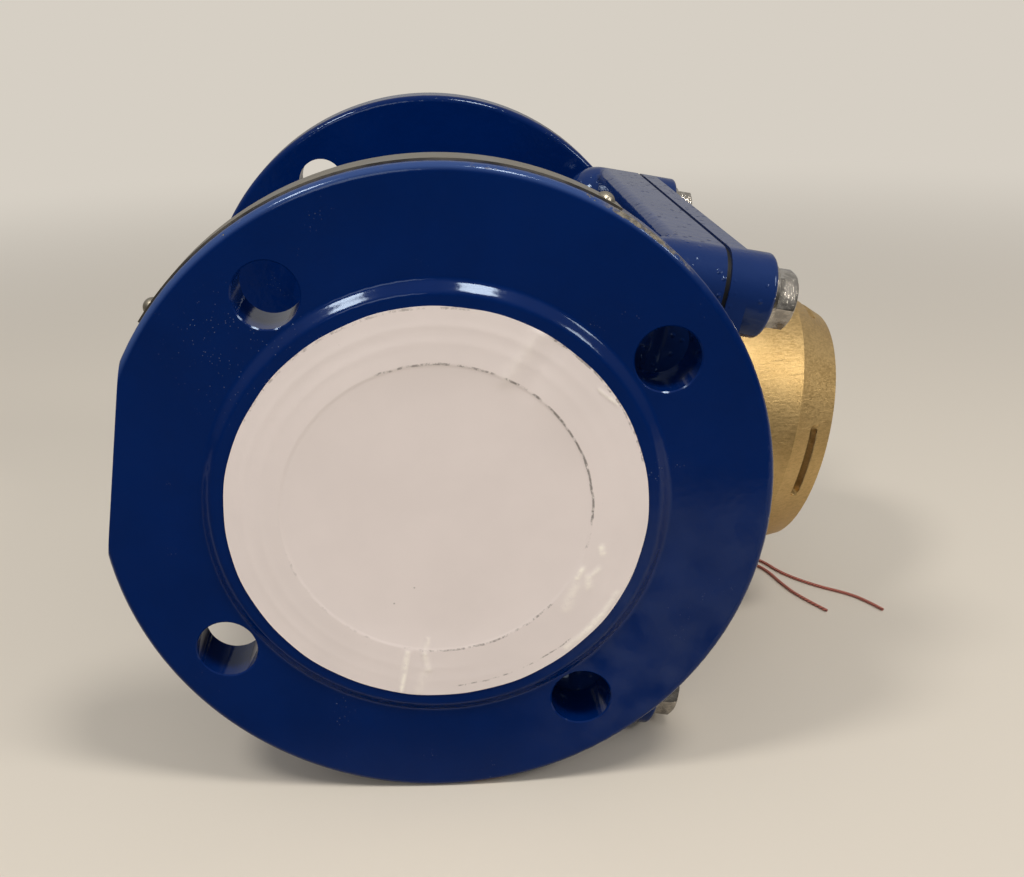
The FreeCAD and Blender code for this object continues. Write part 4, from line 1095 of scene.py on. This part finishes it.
def light_world():
    """Even pale light; the backdrop shows its plain colour, and reflections find it brightest above."""
    world = bpy.data.worlds.new("stage_world")
    bpy.context.scene.world = world
    world.use_nodes = True
    nodes = Nodes(world.node_tree)
    reflected, seen = nodes.rays()
    upward = world.node_tree.nodes.new("ShaderNodeVectorMath")
    upward.operation = "DOT_PRODUCT"
    upward.inputs[1].default_value = GLOSS_FROM
    nodes.feed(upward.inputs[0], world.node_tree.nodes.new("ShaderNodeTexCoord").outputs["Generated"])
    gloss = nodes.ramp(upward.outputs["Value"], *GLOSS_RANGE)
    lit = nodes.level(reflected, WORLD_LIGHT, gloss)
    background = world.node_tree.nodes["Background"]
    nodes.feed(background.inputs["Color"], nodes.mix(seen, LIGHT_TINT, finish().floor))
    nodes.feed(background.inputs["Strength"], nodes.level(seen, lit, 1.0))


def hang_lamps():
    """Three round lamps overhead and a weaker, wider one in front."""
    for number, (place, power, width) in enumerate(zip(LAMP_PLACES, LAMP_POWERS, LAMP_DIAMETERS), 1):
        data = bpy.data.lights.new(f"lamp_{number}", "AREA")
        data.shape = "DISK"
        data.size = width
        data.energy = power
        data.color = finish().lamp
        lamp = bpy.data.objects.new(f"lamp_{number}", data)
        lamp.location = place
        lamp.rotation_euler = (LAMP_AIM - Vector(place)).to_track_quat("-Z", "Y").to_euler()
        bpy.context.scene.collection.objects.link(lamp)


def set_camera():
    """Camera whose place, aim and principal point match the photograph's."""
    data = bpy.data.cameras.new("photo_camera")
    data.sensor_width = SENSOR_WIDTH
    data.lens = sizes().focal_pixels * SENSOR_WIDTH / IMAGE_WIDTH
    data.shift_x = (IMAGE_WIDTH / 2 - PRINCIPAL_POINT[0]) / IMAGE_WIDTH
    data.shift_y = (PRINCIPAL_POINT[1] - IMAGE_HEIGHT / 2) / IMAGE_WIDTH
    data.clip_start = CAMERA_NEAR
    camera = bpy.data.objects.new("photo_camera", data)
    back = -Vector(CAMERA_FORWARD).normalized()
    up = back.cross(Vector(CAMERA_RIGHT).normalized()).normalized()
    right = up.cross(back)
    turn = Matrix((right, up, back)).transposed().to_4x4()
    camera.matrix_world = Matrix.Translation(CAMERA_PLACE) @ turn
    bpy.context.scene.collection.objects.link(camera)
    bpy.context.scene.camera = camera


class METER_OT_stage(bpy.types.Operator):
    """Plain floor, soft light and the camera"""

    bl_idname = "meter.stage"
    bl_label = "Stage"

    def execute(self, context):
        """Set the stage and show colours as they are written."""
        lay_floor()
        light_world()
        hang_lamps()
        set_camera()
        bpy.context.scene.view_settings.view_transform = "Standard"
        return {"FINISHED"}


PIECE_OPERATORS = (METER_OT_castings, METER_OT_film, METER_OT_ring, METER_OT_fasteners, METER_OT_insert,
                   METER_OT_register, METER_OT_thread, METER_OT_stage)


class METER_PT_panel(bpy.types.Panel):
    """Sidebar list of the meter's pieces and settings"""

    bl_idname = "METER_PT_panel"
    bl_label = "Turbine water meter"
    bl_space_type = "VIEW_3D"
    bl_region_type = "UI"
    bl_category = "Water meter"

    def draw(self, context):
        """Operators first, then the colours and sizes."""
        for operator in PIECE_OPERATORS:
            self.layout.operator(operator.bl_idname)
        for group in (context.scene.meter_finish, context.scene.meter_sizes):
            for key in group.bl_rna.properties.keys():
                if key not in {"rna_type", "name"}:
                    self.layout.prop(group, key)


CLASSES = (MeterFinish, MeterSizes, *PIECE_OPERATORS, METER_PT_panel)


def register():
    """Register the classes and hang the settings on the scene."""
    for item in CLASSES:
        bpy.utils.register_class(item)
    bpy.types.Scene.meter_finish = bpy.props.PointerProperty(type=MeterFinish)
    bpy.types.Scene.meter_sizes = bpy.props.PointerProperty(type=MeterSizes)


def unregister():
    """Take the settings off the scene and unregister the classes."""
    del bpy.types.Scene.meter_finish
    del bpy.types.Scene.meter_sizes
    for item in reversed(CLASSES):
        bpy.utils.unregister_class(item)


def main():
    """Build every piece in order."""
    register()
    bpy.ops.meter.castings()
    bpy.ops.meter.film()
    bpy.ops.meter.ring()
    bpy.ops.meter.fasteners()
    bpy.ops.meter.insert()
    bpy.ops.meter.register()
    bpy.ops.meter.thread()
    bpy.ops.meter.stage()
    bpy.context.view_layer.update()


if __name__ == "__main__":
    main()
